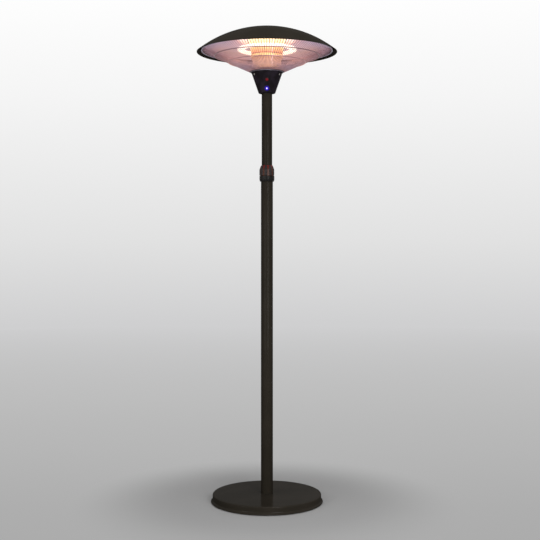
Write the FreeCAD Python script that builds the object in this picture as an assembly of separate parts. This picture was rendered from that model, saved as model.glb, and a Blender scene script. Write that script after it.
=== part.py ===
import FreeCAD, Part
import math
import os

# Electric patio heater: a weighted round base, a telescopic pole with a twist collar, and a head
# with a domed canopy, a wire guard and a ring-shaped lamp round a polished column.
# Millimetres, +Z up, origin on the floor under the pole's axis, front towards -Y.

# Shared clearances and counts
CUT_OVERRUN = 2.0
RUNNING_FIT = 0.05
SEAT_GAP = 0.1
BODY_GAP = 0.3
SPUN_SIDES = 48
HEAD_SIDES = 36
COLLAR_SIDES = 30
SLEEVE_SIDES = 20
PLUG_SIDES = 12
FRONT_DEG = -90.0
REAR_DEG = 90.0

# Base
BASE_RIM_D = 478.0
BASE_FLARE_REACH = 7.5
BASE_TOP_Z = 35.0
BASE_SHEET = 1.5
BASE_CORNER_R = 4.5
BASE_CORNER_STEPS = 2
BASE_FLARE_STEPS = 2
BASE_FLARE_Z = 16.0
BASE_LIP_Z = 3.0
FOOT_D = 34.0
FOOT_H = 4.0
FOOT_COUNT = 5
FOOT_INSET = 45.0
BALLAST_T = 10.0
BALLAST_CLEARANCE = 1.2
BALLAST_HUB_D = 80.0
BOLT_D = 12.0
BOLT_HOLE_CLEARANCE = 0.5
HEX_SIDES = 6
BOLT_HEAD_AF = 19.0
BOLT_HEAD_H = 7.5
BOLT_FLANGE_D = 25.0
BOLT_FLANGE_T = 2.0
BOLT_RECESS_D = 29.0
BOLT_RECESS_DEPTH = 12.0
BOLT_REACH = 40.0

# Pole
UPPER_POLE_D = 45.0
POLE_WALL = 1.5
BUSH_WALL = 1.4
LOWER_POLE_LENGTH = 1361.0
UPPER_POLE_SHOWN = 347.0
UPPER_POLE_OVERLAP = 190.0
BUSH_LENGTH = 70.0
FOOT_PLUG_LENGTH = 60.0
END_PLUG_LENGTH = 24.0
END_FLANGE_T = 5.0
END_FLANGE_CLEARANCE = 0.6
RETAINER_H = 5.0
RETAINER_CLEARANCE = 0.4

# Twist collar
COLLAR_D = 64.0
COLLAR_BASE_H = 24.0
COLLAR_BASE_CONE_H = 13.0
COLLAR_BASE_FOOT_WALL = 1.5
COLLAR_BASE_BELOW_TOP = 30.0
NUT_H = 45.0
NUT_LIP_H = 9.0
NUT_SHOULDER_H = 27.0
NUT_TOP_WALL = 2.0
NUT_WALL = 3.6
COLLET_H = 28.0
COLLET_SLIT = 3.0
COLLET_WALL = 3.3
RIB_COUNT = 9
RIB_DEG = 23.0
RIB_STEPS = 2
RIB_PHASE_DEG = -9.0
RIB_FOOT_GAP = 1.0
RIB_TOP_WALL = 0.9

# Control housing
HOUSING_H = 92.5
HOUSING_FOOT_R = 36.5
HOUSING_TOP_R = 67.6
HOUSING_CORNER = 4.0
HOUSING_WALL = 2.5
POLE_HOLE_CLEARANCE = 0.7
TOP_PLATE_T = 1.5
TOP_PLATE_SKIRT_H = 21.0
TOP_PLATE_HOLE_D = 20.0
SCREW_HEAD_D = 7.0
SCREW_RECESS_D = 8.4
SCREW_RECESS_DEPTH = 1.4
SCREW_HEAD_H = 2.0
SCREW_SHANK_D = 3.0
SCREW_HOLE_CLEARANCE = 0.2
SCREW_LENGTH = 8.0
SCREW_BELOW_TOP = 15.5
SCREW_TURN_DEG = 60.0
SCREW_COUNT = 3
SCREW_SPACING_DEG = 120.0
WINDOW_D = 16.0
WINDOW_DEPTH = 4.0
WINDOW_PROUD = 0.6
WINDOW_Z = 52.0
LED_D = 9.0
LED_DEPTH = 5.0
LED_PROUD = 1.2
LED_Z = 16.5
SOCKET_WALL = 5.5
SOCKET_CAP_T = 4.0
SOCKET_POLE_DEPTH = 30.0
SOCKET_CAP_HOLE_D = 20.0
BOARD_PAD_W = 16.0
BOARD_PAD_H = 16.0
BOARD_PAD_Z = 17.0
BOARD_W = 32.0
BOARD_H = 54.0
BOARD_T = 1.6
BOARD_Z = 15.0
BOARD_FROM_POLE = 9.5
RELAY_W = 18.0
RELAY_H = 18.0
RELAY_D = 14.0
RELAY_Z = 48.0
RECEIVER_W = 8.0
RECEIVER_D = 6.0
TERMINAL_W = 30.0
TERMINAL_D = 12.0
TERMINAL_H = 12.0
TILT_SWITCH_W = 14.0
TILT_SWITCH_D = 12.0
TILT_SWITCH_H = 16.0
TILT_SWITCH_SPACING = 4.0

# Cord gland on the rear of the housing
GLAND_Z = 20.0
GLAND_BOSS_D = 24.0
GLAND_BOSS_PROUD = 6.0
GLAND_BOSS_DEPTH = 14.0
GLAND_TUBE_D = 15.0
GLAND_INNER_LENGTH = 4.0
GLAND_BORE_D = 8.0
GLAND_NUT_AF = 20.0
GLAND_NUT_H = 6.0
GLAND_TIP_H = 8.0
GLAND_TIP_D = 12.0
GLAND_TIP_ROOT_D = 17.0

# Mains rocker switch on the rear of the housing
SWITCH_Z = 53.0
SWITCH_PAD_W = 30.0
SWITCH_PAD_H = 34.0
SWITCH_PAD_DEPTH = 14.0
SWITCH_BODY_W = 20.6
SWITCH_BODY_H = 26.6
SWITCH_BODY_DEPTH = 24.0
SWITCH_BEZEL_EDGE = 2.0
SWITCH_BEZEL_T = 2.0
SWITCH_POCKET_DEPTH = 12.0
SWITCH_SIDE_WALL = 1.6
ROCKER_SIDE_CLEARANCE = 0.5
ROCKER_END_CLEARANCE = 1.1
ROCKER_PIVOT_DEPTH = 4.5
ROCKER_PIN_D = 3.0
ROCKER_PIN_REACH = 1.2
ROCKER_TILT_DEG = 8.0
ROCKER_RISE = 5.0
ROCKER_VALLEY = 3.2
ROCKER_SKIRT = 1.5
ROCKER_HEEL = 3.0
ROCKER_HEEL_SHARE = 0.6

# Guard hoop and polished column
HOOP_R = 71.0
HOOP_WALL = 7.0
HOOP_H = 4.0
HOOP_LIP_DROP = 3.0
COLUMN_SHEET = 1.0
COLUMN_FOOT_R = 70.0
COLUMN_WAIST_R = 61.5
COLUMN_BEAD_R = 68.0
COLUMN_TOP_R = 80.0
COLUMN_LOWER_H = 54.0
COLUMN_HEADROOM = 37.0
COLUMN_BEAD_H = 14.0
COLUMN_CURVE_STEPS = 3
COLUMN_WAIST_SHARE = 0.72
COLUMN_FLANGE = 8.0
STAY_D = 6.0
STAY_SIDES = 6
STAY_COUNT = 3
STAY_CIRCLE_D = 60.0

# Canopy and reflector
CANOPY_D = 600.0
CANOPY_SHEET = 1.2
CANOPY_LIFT = 83.5
DOME_R = 479.0
DOME_SKIRT_W = 20.0
DOME_STEPS = 5
BRACKET_D = 84.0
BRACKET_T = 4.0
REFLECTOR_EDGE_INSET = 26.0
REFLECTOR_SHEET = 1.0
REFLECTOR_STEPS = 3
REFLECTOR_CROWN_SHARE = 0.55

# Wire guard
RING_INSET = 19.0
RING_W = 5.0
RING_H = 4.0
RING_BELOW_CANOPY = 3.6
WIRE_D = 2.6
WIRE_COUNT = 144
WIRE_SECTION_SIDES = 4
WIRE_END_INSET = 2.0
WIRE_FOOT_GAP = 0.7
MID_RING_W = 3.0
MID_RING_RADII_SHARES = (0.445, 0.725)
CLIP_COUNT = 6
CLIP_W = 6.0
CLIP_LENGTH = 3.0

# Lamp
LAMP_R = 112.5
LAMP_TUBE_SPACING = 17.0
LAMP_BELOW_REFLECTOR = 42.0
LAMP_TUBE_D = 12.0
LAMP_GLASS = 1.3
LAMP_SECTION_SIDES = 6
LAMP_STEPS = 20
LAMP_GAP_DEG = 14.0
FILAMENT_D = 2.2
FILAMENT_SECTION_SIDES = 4
HOLDER_W = 38.0
HOLDER_H = 18.0
HOLDER_STEPS = 2
LAMP_ARM_W = 16.0
LAMP_ARM_H = 8.0
LAMP_CLIP_D = 3.0
LAMP_CLIP_SIDES = 6
LAMP_CLIP_COUNT = 4
LAMP_CLIP_TURN_DEG = 45.0
LAMP_SADDLE_W = 8.0
LAMP_SADDLE_L = 30.0
LAMP_SADDLE_T = 2.0

# Radii and heights that follow from the sizes above
BASE_SIDE_R = BASE_RIM_D / 2 - BASE_FLARE_REACH
UPPER_R = UPPER_POLE_D / 2
LOWER_BORE_R = UPPER_R + BUSH_WALL + 2 * RUNNING_FIT
LOWER_R = LOWER_BORE_R + POLE_WALL
LOWER_TOP_Z = BASE_TOP_Z + LOWER_POLE_LENGTH
COLLAR_R = COLLAR_D / 2
COLLAR_Z = LOWER_TOP_Z - COLLAR_BASE_BELOW_TOP
NUT_Z = COLLAR_Z + COLLAR_BASE_H + BODY_GAP
COLLET_R = UPPER_R + RUNNING_FIT + COLLET_WALL
NUT_CORE_R = COLLET_R + SEAT_GAP + NUT_WALL
HOUSING_Z = LOWER_TOP_Z + UPPER_POLE_SHOWN
HOUSING_TOP_Z = HOUSING_Z + HOUSING_H
HOUSING_FLOOR_Z = HOUSING_Z + HOUSING_WALL
HOUSING_SLOPE = (HOUSING_TOP_R - HOUSING_FOOT_R) / (HOUSING_H - HOUSING_CORNER)
HOUSING_LEAN = math.atan(HOUSING_SLOPE)
UPPER_POLE_Z = LOWER_TOP_Z - UPPER_POLE_OVERLAP
UPPER_POLE_TOP_Z = HOUSING_FLOOR_Z + SOCKET_POLE_DEPTH
SOCKET_R = UPPER_R + RUNNING_FIT + SOCKET_WALL
SOCKET_TOP_Z = UPPER_POLE_TOP_Z + SEAT_GAP + SOCKET_CAP_T
BOARD_BACK_Y = -(UPPER_R + BOARD_FROM_POLE)
HOOP_TOP_Z = HOUSING_TOP_Z + HOOP_H
COLUMN_JOINT_Z = HOOP_TOP_Z + COLUMN_LOWER_H
CANOPY_R = CANOPY_D / 2
RIM_Z = HOUSING_TOP_Z + CANOPY_LIFT
DOME_ARC_R = CANOPY_R - DOME_SKIRT_W
DOME_EDGE = math.asin(DOME_ARC_R / DOME_R)
WIRE_R = WIRE_D / 2
WIRE_FOOT_R = HOOP_R + WIRE_FOOT_GAP
RING_OUTER_R = CANOPY_R - RING_INSET
RING_INNER_R = RING_OUTER_R - RING_W
WIRE_TIP_R = RING_OUTER_R - WIRE_END_INSET


def point(radius, height, angle=0.0):
    """A point at a radius and an angle in radians round the pole's axis."""
    return FreeCAD.Vector(radius * math.cos(angle), radius * math.sin(angle), height)


def flat_face(corners):
    """A flat face through its corners."""
    return Part.Face(Part.makePolygon(corners + [corners[0]]))


def closed_solid(faces):
    """One solid from the faces that bound it."""
    shell = Part.makeShell(faces)
    shell.sewShape()
    solid = Part.makeSolid(shell)
    if solid.Volume < 0:
        solid.reverse()
    return solid.removeSplitter()


def band_corners(start, end, angle, next_angle):
    """The corners of one facet between two outline points, without doubled corners on the axis."""
    corners = [point(*start, angle)]
    if start[0] > 0:
        corners.append(point(*start, next_angle))
    corners.append(point(*end, next_angle))
    if end[0] > 0:
        corners.append(point(*end, angle))
    return corners


def spun(outline, sides=SPUN_SIDES):
    """A closed outline of (radius, height) points spun right round the axis in flat facets."""
    angles = [2 * math.pi * index / sides for index in range(sides + 1)]
    faces = []
    for start, end in zip(outline, outline[1:] + outline[:1]):
        if start[0] == 0 and end[0] == 0:
            continue
        for angle, next_angle in zip(angles, angles[1:]):
            faces.append(flat_face(band_corners(start, end, angle, next_angle)))
    return closed_solid(faces)


def sector(outline, start_deg, end_deg, steps):
    """A closed outline of (radius, height) points spun part of the way round, with flat ends."""
    turn = math.radians(end_deg - start_deg) / steps
    angles = [math.radians(start_deg) + turn * index for index in range(steps + 1)]
    faces = []
    for start, end in zip(outline, outline[1:] + outline[:1]):
        for angle, next_angle in zip(angles, angles[1:]):
            faces.append(flat_face(band_corners(start, end, angle, next_angle)))
    for angle in (angles[0], angles[-1]):
        faces.append(flat_face([point(*corner, angle) for corner in outline]))
    return closed_solid(faces)


def clear_flats(radius, sides):
    """The corner radius of a polygon whose flats touch a circle of the given radius."""
    return radius / math.cos(math.pi / sides)


def box_between(x_range, y_range, z_range):
    """A box between two limits on each axis."""
    corner = FreeCAD.Vector(x_range[0], y_range[0], z_range[0])
    spans = [high - low for low, high in (x_range, y_range, z_range)]
    return Part.makeBox(spans[0], spans[1], spans[2], corner)


def about(centre, width):
    """The two limits of a width about its centre."""
    return (centre - width / 2, centre + width / 2)


def plug(radius, start, end):
    """A plug or pin of small size from one point to another, with its corners on a circle."""
    return prism(radius, PLUG_SIDES, start, end)


def rod(radius, start, end):
    """A round rod from one point to another."""
    axis = end.sub(start)
    return Part.makeCylinder(radius, axis.Length, start, axis)


def prism(corner_radius, sides, start, end):
    """A regular prism from one point to another, with one flat facing up where it leans."""
    axis = end.sub(start)
    turn = FreeCAD.Rotation(FreeCAD.Vector(0, 0, 1), axis)
    corners = []
    for index in range(sides):
        angle = 2 * math.pi * (index + 0.5) / sides
        corner = point(corner_radius, 0, angle)
        corners.append(start.add(turn.multVec(corner)))
    return flat_face(corners).extrude(axis)


def hexagon(across_flats, start, end):
    """A hexagonal bar from one point to another."""
    return prism(clear_flats(across_flats / 2, HEX_SIDES), HEX_SIDES, start, end)


def tube(outer_radius, inner_radius, bottom, top):
    """A round tube about the pole's axis."""
    outer = rod(outer_radius, point(0, bottom), point(0, top))
    bore = rod(inner_radius, point(0, bottom - CUT_OVERRUN), point(0, top + CUT_OVERRUN))
    return outer.cut(bore)


def arc_points(centre, radius, start_deg, end_deg, steps):
    """Points at even steps along an arc in the (radius, height) plane, both ends included."""
    points = []
    for index in range(steps + 1):
        angle = math.radians(start_deg + (end_deg - start_deg) * index / steps)
        points.append((centre[0] + radius * math.cos(angle), centre[1] + radius * math.sin(angle)))
    return points


def polar_copies(shape, count, start_deg=0.0, spacing_deg=None):
    """Separate copies of a solid, evenly spaced round the pole's axis."""
    spacing = 360.0 / count if spacing_deg is None else spacing_deg
    copies = []
    for index in range(count):
        copy = shape.copy()
        copy.rotate(point(0, 0), FreeCAD.Vector(0, 0, 1), start_deg + spacing * index)
        copies.append(copy)
    return Part.makeCompound(copies)


# Base

def flare_points():
    """The concave flare from the base's side down to its rim."""
    reach = BASE_FLARE_REACH
    drop = BASE_FLARE_Z - BASE_LIP_Z
    radius = (reach * reach + drop * drop) / (2 * reach)
    end_deg = 180.0 + math.degrees(math.asin(drop / radius))
    centre = (BASE_SIDE_R + radius, BASE_FLARE_Z)
    return arc_points(centre, radius, 180.0, end_deg, BASE_FLARE_STEPS)


def base_cover():
    """The spun sheet cover with a flat top, a rounded shoulder and a flared rim."""
    side = BASE_SIDE_R
    shoulder = (side - BASE_CORNER_R, BASE_TOP_Z - BASE_CORNER_R)
    outer = [(0, BASE_TOP_Z)] + arc_points(shoulder, BASE_CORNER_R, 90, 0, BASE_CORNER_STEPS)
    inner = [
        (BASE_RIM_D / 2 - BASE_SHEET, BASE_LIP_Z),
        (side - BASE_SHEET, BASE_FLARE_Z),
        (side - BASE_SHEET, BASE_TOP_Z - BASE_CORNER_R),
        (side - BASE_CORNER_R, BASE_TOP_Z - BASE_SHEET),
        (0, BASE_TOP_Z - BASE_SHEET),
    ]
    return spun(outer + flare_points() + inner).cut(bolt_hole())


def bolt_hole():
    """The clear hole for the base bolt, right through the base."""
    radius = BOLT_D / 2 + BOLT_HOLE_CLEARANCE
    return plug(radius, point(0, -CUT_OVERRUN), point(0, BASE_TOP_Z + CUT_OVERRUN))


def ballast_disc():
    """The cast weight, with a hub that carries the cover and a recess for the bolt's head."""
    radius = BASE_SIDE_R - BASE_SHEET - BALLAST_CLEARANCE
    hub = BALLAST_HUB_D / 2
    top = FOOT_H + BALLAST_T
    outline = [
        (0, FOOT_H),
        (radius, FOOT_H),
        (radius, top),
        (hub, top),
        (hub, BASE_TOP_Z - BASE_SHEET),
        (0, BASE_TOP_Z - BASE_SHEET),
    ]
    recess_top = FOOT_H + BOLT_RECESS_DEPTH
    recess = plug(BOLT_RECESS_D / 2, point(0, FOOT_H - CUT_OVERRUN), point(0, recess_top))
    return spun(outline, HEAD_SIDES).cut(bolt_hole()).cut(recess)


def rubber_feet():
    """The round pads under the weight."""
    circle = BASE_SIDE_R - FOOT_INSET
    pad = plug(FOOT_D / 2, point(circle, 0), point(circle, FOOT_H))
    return polar_copies(pad, FOOT_COUNT, FRONT_DEG)


def base_bolt():
    """The flanged bolt that draws the pole's foot plug down on the cover."""
    seat = FOOT_H + BOLT_RECESS_DEPTH
    flange_bottom = seat - BOLT_FLANGE_T
    head_bottom = flange_bottom - BOLT_HEAD_H
    tip = BASE_TOP_Z + BOLT_REACH
    head = hexagon(BOLT_HEAD_AF, point(0, head_bottom), point(0, flange_bottom))
    flange = plug(BOLT_FLANGE_D / 2, point(0, flange_bottom), point(0, seat))
    return head.fuse(flange).fuse(plug(BOLT_D / 2, point(0, seat), point(0, tip))).removeSplitter()


def foot_plug():
    """The threaded plug in the foot of the lower pole."""
    outline = [
        (0, BASE_TOP_Z),
        (LOWER_BORE_R - RUNNING_FIT, BASE_TOP_Z),
        (LOWER_BORE_R - RUNNING_FIT, BASE_TOP_Z + FOOT_PLUG_LENGTH),
        (0, BASE_TOP_Z + FOOT_PLUG_LENGTH),
    ]
    tip = BASE_TOP_Z + BOLT_REACH + CUT_OVERRUN
    thread = plug(BOLT_D / 2 + RUNNING_FIT, point(0, BASE_TOP_Z - CUT_OVERRUN), point(0, tip))
    return spun(outline, SLEEVE_SIDES).cut(thread)


# Pole and twist collar

def lower_pole():
    """The fixed outer tube."""
    return tube(LOWER_R, LOWER_BORE_R, BASE_TOP_Z, LOWER_TOP_Z)


def upper_pole():
    """The sliding inner tube that carries the head."""
    return tube(UPPER_R, UPPER_R - POLE_WALL, UPPER_POLE_Z, UPPER_POLE_TOP_Z)


def collar_base():
    """The plain band of the collar, fixed round the top of the lower pole."""
    bore = clear_flats(LOWER_R + RUNNING_FIT, COLLAR_SIDES)
    top = COLLAR_Z + COLLAR_BASE_H
    outline = [
        (bore, COLLAR_Z),
        (bore + COLLAR_BASE_FOOT_WALL, COLLAR_Z),
        (COLLAR_R, COLLAR_Z + COLLAR_BASE_CONE_H),
        (COLLAR_R, top),
        (bore, top),
    ]
    return spun(outline, COLLAR_SIDES)


def clamp_collet():
    """The split collet on the lower pole's end, which grips the upper pole."""
    bore = clear_flats(UPPER_R + RUNNING_FIT, SLEEVE_SIDES)
    top = LOWER_TOP_Z + COLLET_H
    outline = [(bore, LOWER_TOP_Z), (COLLET_R, LOWER_TOP_Z), (COLLET_R, top), (bore, top)]
    depth = (LOWER_TOP_Z - CUT_OVERRUN, top + CUT_OVERRUN)
    slit = box_between(about(0, COLLET_SLIT), (0, COLLET_R + CUT_OVERRUN), depth)
    return spun(outline, SLEEVE_SIDES).cut(slit)


def nut_crown_points():
    """The nut's outside above its shoulder, as (radius, height) points."""
    top_r = UPPER_R + NUT_TOP_WALL
    return [(NUT_CORE_R, NUT_Z + NUT_SHOULDER_H), (top_r, NUT_Z + NUT_H)]


def collar_nut():
    """The clamp nut: it turns on the lower pole and closes the collet."""
    thread = clear_flats(LOWER_R + RUNNING_FIT, COLLAR_SIDES)
    cavity = clear_flats(COLLET_R + SEAT_GAP, COLLAR_SIDES)
    mouth = clear_flats(UPPER_R + BODY_GAP, COLLAR_SIDES)
    step = LOWER_TOP_Z - BODY_GAP
    roof = NUT_Z + NUT_H - NUT_LIP_H
    outline = [(thread, NUT_Z), (NUT_CORE_R, NUT_Z)] + nut_crown_points() + [
        (mouth, NUT_Z + NUT_H),
        (mouth, roof),
        (cavity, roof),
        (cavity, step),
        (thread, step),
    ]
    return spun(outline, COLLAR_SIDES)


def collar_grip():
    """The soft ribs moulded round the nut."""
    half_step = math.radians(RIB_DEG) / (2 * RIB_STEPS)
    swell = SEAT_GAP + NUT_CORE_R * (1 / math.cos(half_step) - 1)
    shoulder, crown = nut_crown_points()
    foot = NUT_Z + RIB_FOOT_GAP
    blend_z = shoulder[1] - (COLLAR_R - NUT_CORE_R)
    rib_top_z = crown[1] - RIB_TOP_WALL
    taper = (shoulder[0] - crown[0]) / (crown[1] - shoulder[1])
    rib_top_r = crown[0] + swell + RIB_TOP_WALL * taper
    outline = [
        (NUT_CORE_R + swell, foot),
        (COLLAR_R, foot),
        (COLLAR_R, blend_z),
        (COLLAR_R - RIB_TOP_WALL, shoulder[1]),
        (rib_top_r + RIB_TOP_WALL, rib_top_z),
        (rib_top_r, rib_top_z),
        (shoulder[0] + swell, shoulder[1]),
    ]
    rib = sector(outline, FRONT_DEG - RIB_DEG / 2, FRONT_DEG + RIB_DEG / 2, RIB_STEPS)
    return polar_copies(rib, RIB_COUNT, RIB_PHASE_DEG)


def guide_bush():
    """The plain sleeve that guides the upper pole's foot in the lower pole."""
    bore = clear_flats(UPPER_R + RUNNING_FIT, SLEEVE_SIDES)
    outer = LOWER_BORE_R - RUNNING_FIT
    bottom = UPPER_POLE_Z + BODY_GAP
    top = bottom + BUSH_LENGTH
    return spun([(bore, bottom), (outer, bottom), (outer, top), (bore, top)], SLEEVE_SIDES)


def pole_end_plug():
    """The plug in the upper pole's foot, with the flange that carries the bush."""
    spigot = UPPER_R - POLE_WALL - RUNNING_FIT
    flange = LOWER_BORE_R - END_FLANGE_CLEARANCE
    outline = [
        (0, UPPER_POLE_Z - END_FLANGE_T),
        (flange, UPPER_POLE_Z - END_FLANGE_T),
        (flange, UPPER_POLE_Z),
        (spigot, UPPER_POLE_Z),
        (spigot, UPPER_POLE_Z + END_PLUG_LENGTH),
        (0, UPPER_POLE_Z + END_PLUG_LENGTH),
    ]
    return spun(outline, SLEEVE_SIDES)


def bush_retainer():
    """The ring on the upper pole that keeps the bush in its place."""
    bore = clear_flats(UPPER_R + RUNNING_FIT, SLEEVE_SIDES)
    outer = LOWER_BORE_R - RETAINER_CLEARANCE
    bottom = UPPER_POLE_Z + BUSH_LENGTH + 2 * BODY_GAP
    top = bottom + RETAINER_H
    return spun([(bore, bottom), (outer, bottom), (outer, top), (bore, top)], SLEEVE_SIDES)


# Control housing

def housing_radius(height):
    """The outer radius of the housing's sloping wall at a height above its foot."""
    return HOUSING_FOOT_R + (height - HOUSING_CORNER) * HOUSING_SLOPE


def wall_place(height, angle_deg):
    """A placement on the housing's wall whose local +Z points straight out of it."""
    angle = math.radians(angle_deg)
    out = point(math.cos(HOUSING_LEAN), -math.sin(HOUSING_LEAN), angle)
    turn = FreeCAD.Rotation(FreeCAD.Vector(0, 0, 1), out)
    return FreeCAD.Placement(point(housing_radius(height), HOUSING_Z + height, angle), turn)


def wall_plug(radius, low, high, height, angle_deg):
    """A round plug square to the housing's wall, between two levels from its face."""
    piece = plug(radius, point(0, low), point(0, high))
    piece.Placement = wall_place(height, angle_deg).multiply(piece.Placement)
    return piece


def screw_angles():
    """The places of the housing's screws round the axis, in degrees."""
    start = FRONT_DEG - SCREW_TURN_DEG
    return [start + SCREW_SPACING_DEG * index for index in range(SCREW_COUNT)]


def gland_face_y():
    """The rear face of the gland's boss."""
    return housing_radius(GLAND_Z) + GLAND_BOSS_PROUD


def switch_face_y():
    """The flat rear face of the switch's pad, level with the wall at the pad's top edge."""
    return housing_radius(SWITCH_Z + SWITCH_PAD_H / 2)


def rear_point(distance, height):
    """A point on the housing's rear centre line, at a height above its foot."""
    return FreeCAD.Vector(0, distance, HOUSING_Z + height)


def housing_bosses():
    """The gland's round boss and the switch's square pad on the housing's rear."""
    face = gland_face_y()
    inner = rear_point(face - GLAND_BOSS_DEPTH, GLAND_Z)
    boss = plug(GLAND_BOSS_D / 2, inner, rear_point(face, GLAND_Z))
    pad_y = (switch_face_y() - SWITCH_PAD_DEPTH, switch_face_y())
    pad = box_between(about(0, SWITCH_PAD_W), pad_y, about(HOUSING_Z + SWITCH_Z, SWITCH_PAD_H))
    return boss.fuse(pad)


def housing_cuts():
    """Everything that is cut out of the housing's wall."""
    deep = HOUSING_WALL * 2 + CUT_OVERRUN
    cuts = [wall_plug(WINDOW_D / 2, -deep, CUT_OVERRUN, WINDOW_Z, FRONT_DEG)]
    cuts.append(wall_plug(LED_D / 2, -deep, CUT_OVERRUN, LED_Z, FRONT_DEG))
    screw_z = HOUSING_H - SCREW_BELOW_TOP
    for angle in screw_angles():
        cuts.append(wall_plug(SCREW_RECESS_D / 2, -SCREW_RECESS_DEPTH, CUT_OVERRUN, screw_z, angle))
        hole = SCREW_SHANK_D / 2 + SCREW_HOLE_CLEARANCE
        cuts.append(wall_plug(hole, -deep, CUT_OVERRUN, screw_z, angle))
    face = gland_face_y()
    bore_start = rear_point(face - GLAND_BOSS_DEPTH - CUT_OVERRUN, GLAND_Z)
    bore_end = rear_point(face + CUT_OVERRUN, GLAND_Z)
    bore = clear_flats(GLAND_TUBE_D / 2 + RUNNING_FIT, PLUG_SIDES)
    cuts.append(plug(bore, bore_start, bore_end))
    face = switch_face_y()
    well_y = (face - SWITCH_PAD_DEPTH - CUT_OVERRUN, face + CUT_OVERRUN)
    well_w = about(0, SWITCH_BODY_W + 2 * SEAT_GAP)
    cuts.append(box_between(well_w, well_y, about(HOUSING_Z + SWITCH_Z, SWITCH_BODY_H + 2 * SEAT_GAP)))
    return cuts


def housing():
    """The moulded cone round the controls."""
    inset = HOUSING_WALL / math.cos(HOUSING_LEAN)
    bore = UPPER_R + POLE_HOLE_CLEARANCE
    outline = [
        (bore, HOUSING_Z),
        (HOUSING_FOOT_R - HOUSING_CORNER, HOUSING_Z),
        (housing_radius(HOUSING_CORNER), HOUSING_Z + HOUSING_CORNER),
        (HOUSING_TOP_R, HOUSING_TOP_Z),
        (HOUSING_TOP_R - inset, HOUSING_TOP_Z),
        (housing_radius(HOUSING_WALL) - inset, HOUSING_FLOOR_Z),
        (bore, HOUSING_FLOOR_Z),
    ]
    body = spun(outline, HEAD_SIDES).fuse(housing_bosses())
    for cut in housing_cuts():
        body = body.cut(cut)
    return body.removeSplitter()


def housing_top_plate():
    """The heat shield that closes the housing, with a skirt for the housing's screws."""
    inset = HOUSING_WALL / math.cos(HOUSING_LEAN) + BODY_GAP
    foot = HOUSING_H - TOP_PLATE_SKIRT_H
    hole = TOP_PLATE_HOLE_D / 2
    under = HOUSING_TOP_Z - TOP_PLATE_T
    rim = HOUSING_TOP_R - inset
    skirt = housing_radius(foot) - inset
    outline = [
        (hole, HOUSING_TOP_Z),
        (rim, HOUSING_TOP_Z),
        (skirt, HOUSING_Z + foot),
        (skirt - TOP_PLATE_T, HOUSING_Z + foot),
        (rim - TOP_PLATE_T - TOP_PLATE_T * HOUSING_SLOPE, under),
        (hole, under),
    ]
    plate = spun(outline, HEAD_SIDES)
    for angle in screw_angles():
        reach = SCREW_LENGTH + CUT_OVERRUN
        hole = SCREW_SHANK_D / 2 + RUNNING_FIT
        plate = plate.cut(wall_plug(hole, -reach, 0, HOUSING_H - SCREW_BELOW_TOP, angle))
    return plate


def housing_screws():
    """The screws that hold the housing to the top plate's skirt."""
    height = HOUSING_H - SCREW_BELOW_TOP
    screws = []
    for angle in screw_angles():
        head_top = SCREW_HEAD_H - SCREW_RECESS_DEPTH
        head = wall_plug(SCREW_HEAD_D / 2, -SCREW_RECESS_DEPTH, head_top, height, angle)
        tip = -SCREW_RECESS_DEPTH - SCREW_LENGTH
        shank = wall_plug(SCREW_SHANK_D / 2, tip, -SCREW_RECESS_DEPTH, height, angle)
        screws.append(head.fuse(shank).removeSplitter())
    return Part.makeCompound(screws)


def ir_window():
    """The dark window of the remote-control receiver."""
    return wall_plug(WINDOW_D / 2 - RUNNING_FIT, -WINDOW_DEPTH, WINDOW_PROUD, WINDOW_Z, FRONT_DEG)


def led_lens():
    """The lens of the power light."""
    return wall_plug(LED_D / 2 - RUNNING_FIT, -LED_DEPTH, LED_PROUD, LED_Z, FRONT_DEG)


def neck_socket():
    """The cast socket on the upper pole's end, with a pad for the control board."""
    bore = clear_flats(UPPER_R + RUNNING_FIT, SLEEVE_SIDES)
    roof = UPPER_POLE_TOP_Z + SEAT_GAP
    hole = SOCKET_CAP_HOLE_D / 2
    outline = [
        (bore, HOUSING_FLOOR_Z),
        (SOCKET_R, HOUSING_FLOOR_Z),
        (SOCKET_R, SOCKET_TOP_Z),
        (hole, SOCKET_TOP_Z),
        (hole, roof),
        (bore, roof),
    ]
    pad_z = (HOUSING_Z + BOARD_PAD_Z, HOUSING_Z + BOARD_PAD_Z + BOARD_PAD_H)
    pad = box_between(about(0, BOARD_PAD_W), (BOARD_BACK_Y, -UPPER_R - SOCKET_WALL / 2), pad_z)
    return spun(outline, SLEEVE_SIDES).fuse(pad).removeSplitter()


def control_board():
    """The circuit board on the socket's pad."""
    span = (HOUSING_Z + BOARD_Z, HOUSING_Z + BOARD_Z + BOARD_H)
    return box_between(about(0, BOARD_W), (BOARD_BACK_Y - BOARD_T, BOARD_BACK_Y), span)


def power_relay():
    """The relay on the back of the control board."""
    span = (HOUSING_Z + RELAY_Z, HOUSING_Z + RELAY_Z + RELAY_H)
    return box_between(about(0, RELAY_W), (BOARD_BACK_Y, BOARD_BACK_Y + RELAY_D), span)


def ir_receiver():
    """The receiver on the front of the control board, behind its window."""
    front = BOARD_BACK_Y - BOARD_T
    span = about(HOUSING_Z + WINDOW_Z, RECEIVER_W)
    return box_between(about(0, RECEIVER_W), (front - RECEIVER_D, front), span)


def terminal_block():
    """The mains terminals on top of the socket."""
    start = SOCKET_CAP_HOLE_D / 2
    span = (SOCKET_TOP_Z, SOCKET_TOP_Z + TERMINAL_H)
    return box_between(about(0, TERMINAL_W), (start, start + TERMINAL_D), span)


def tilt_switch():
    """The tip-over switch on top of the socket."""
    start = SOCKET_CAP_HOLE_D / 2 + TILT_SWITCH_SPACING
    span = (SOCKET_TOP_Z, SOCKET_TOP_Z + TILT_SWITCH_H)
    return box_between((start, start + TILT_SWITCH_D), about(-TILT_SWITCH_SPACING, TILT_SWITCH_W), span)


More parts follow.
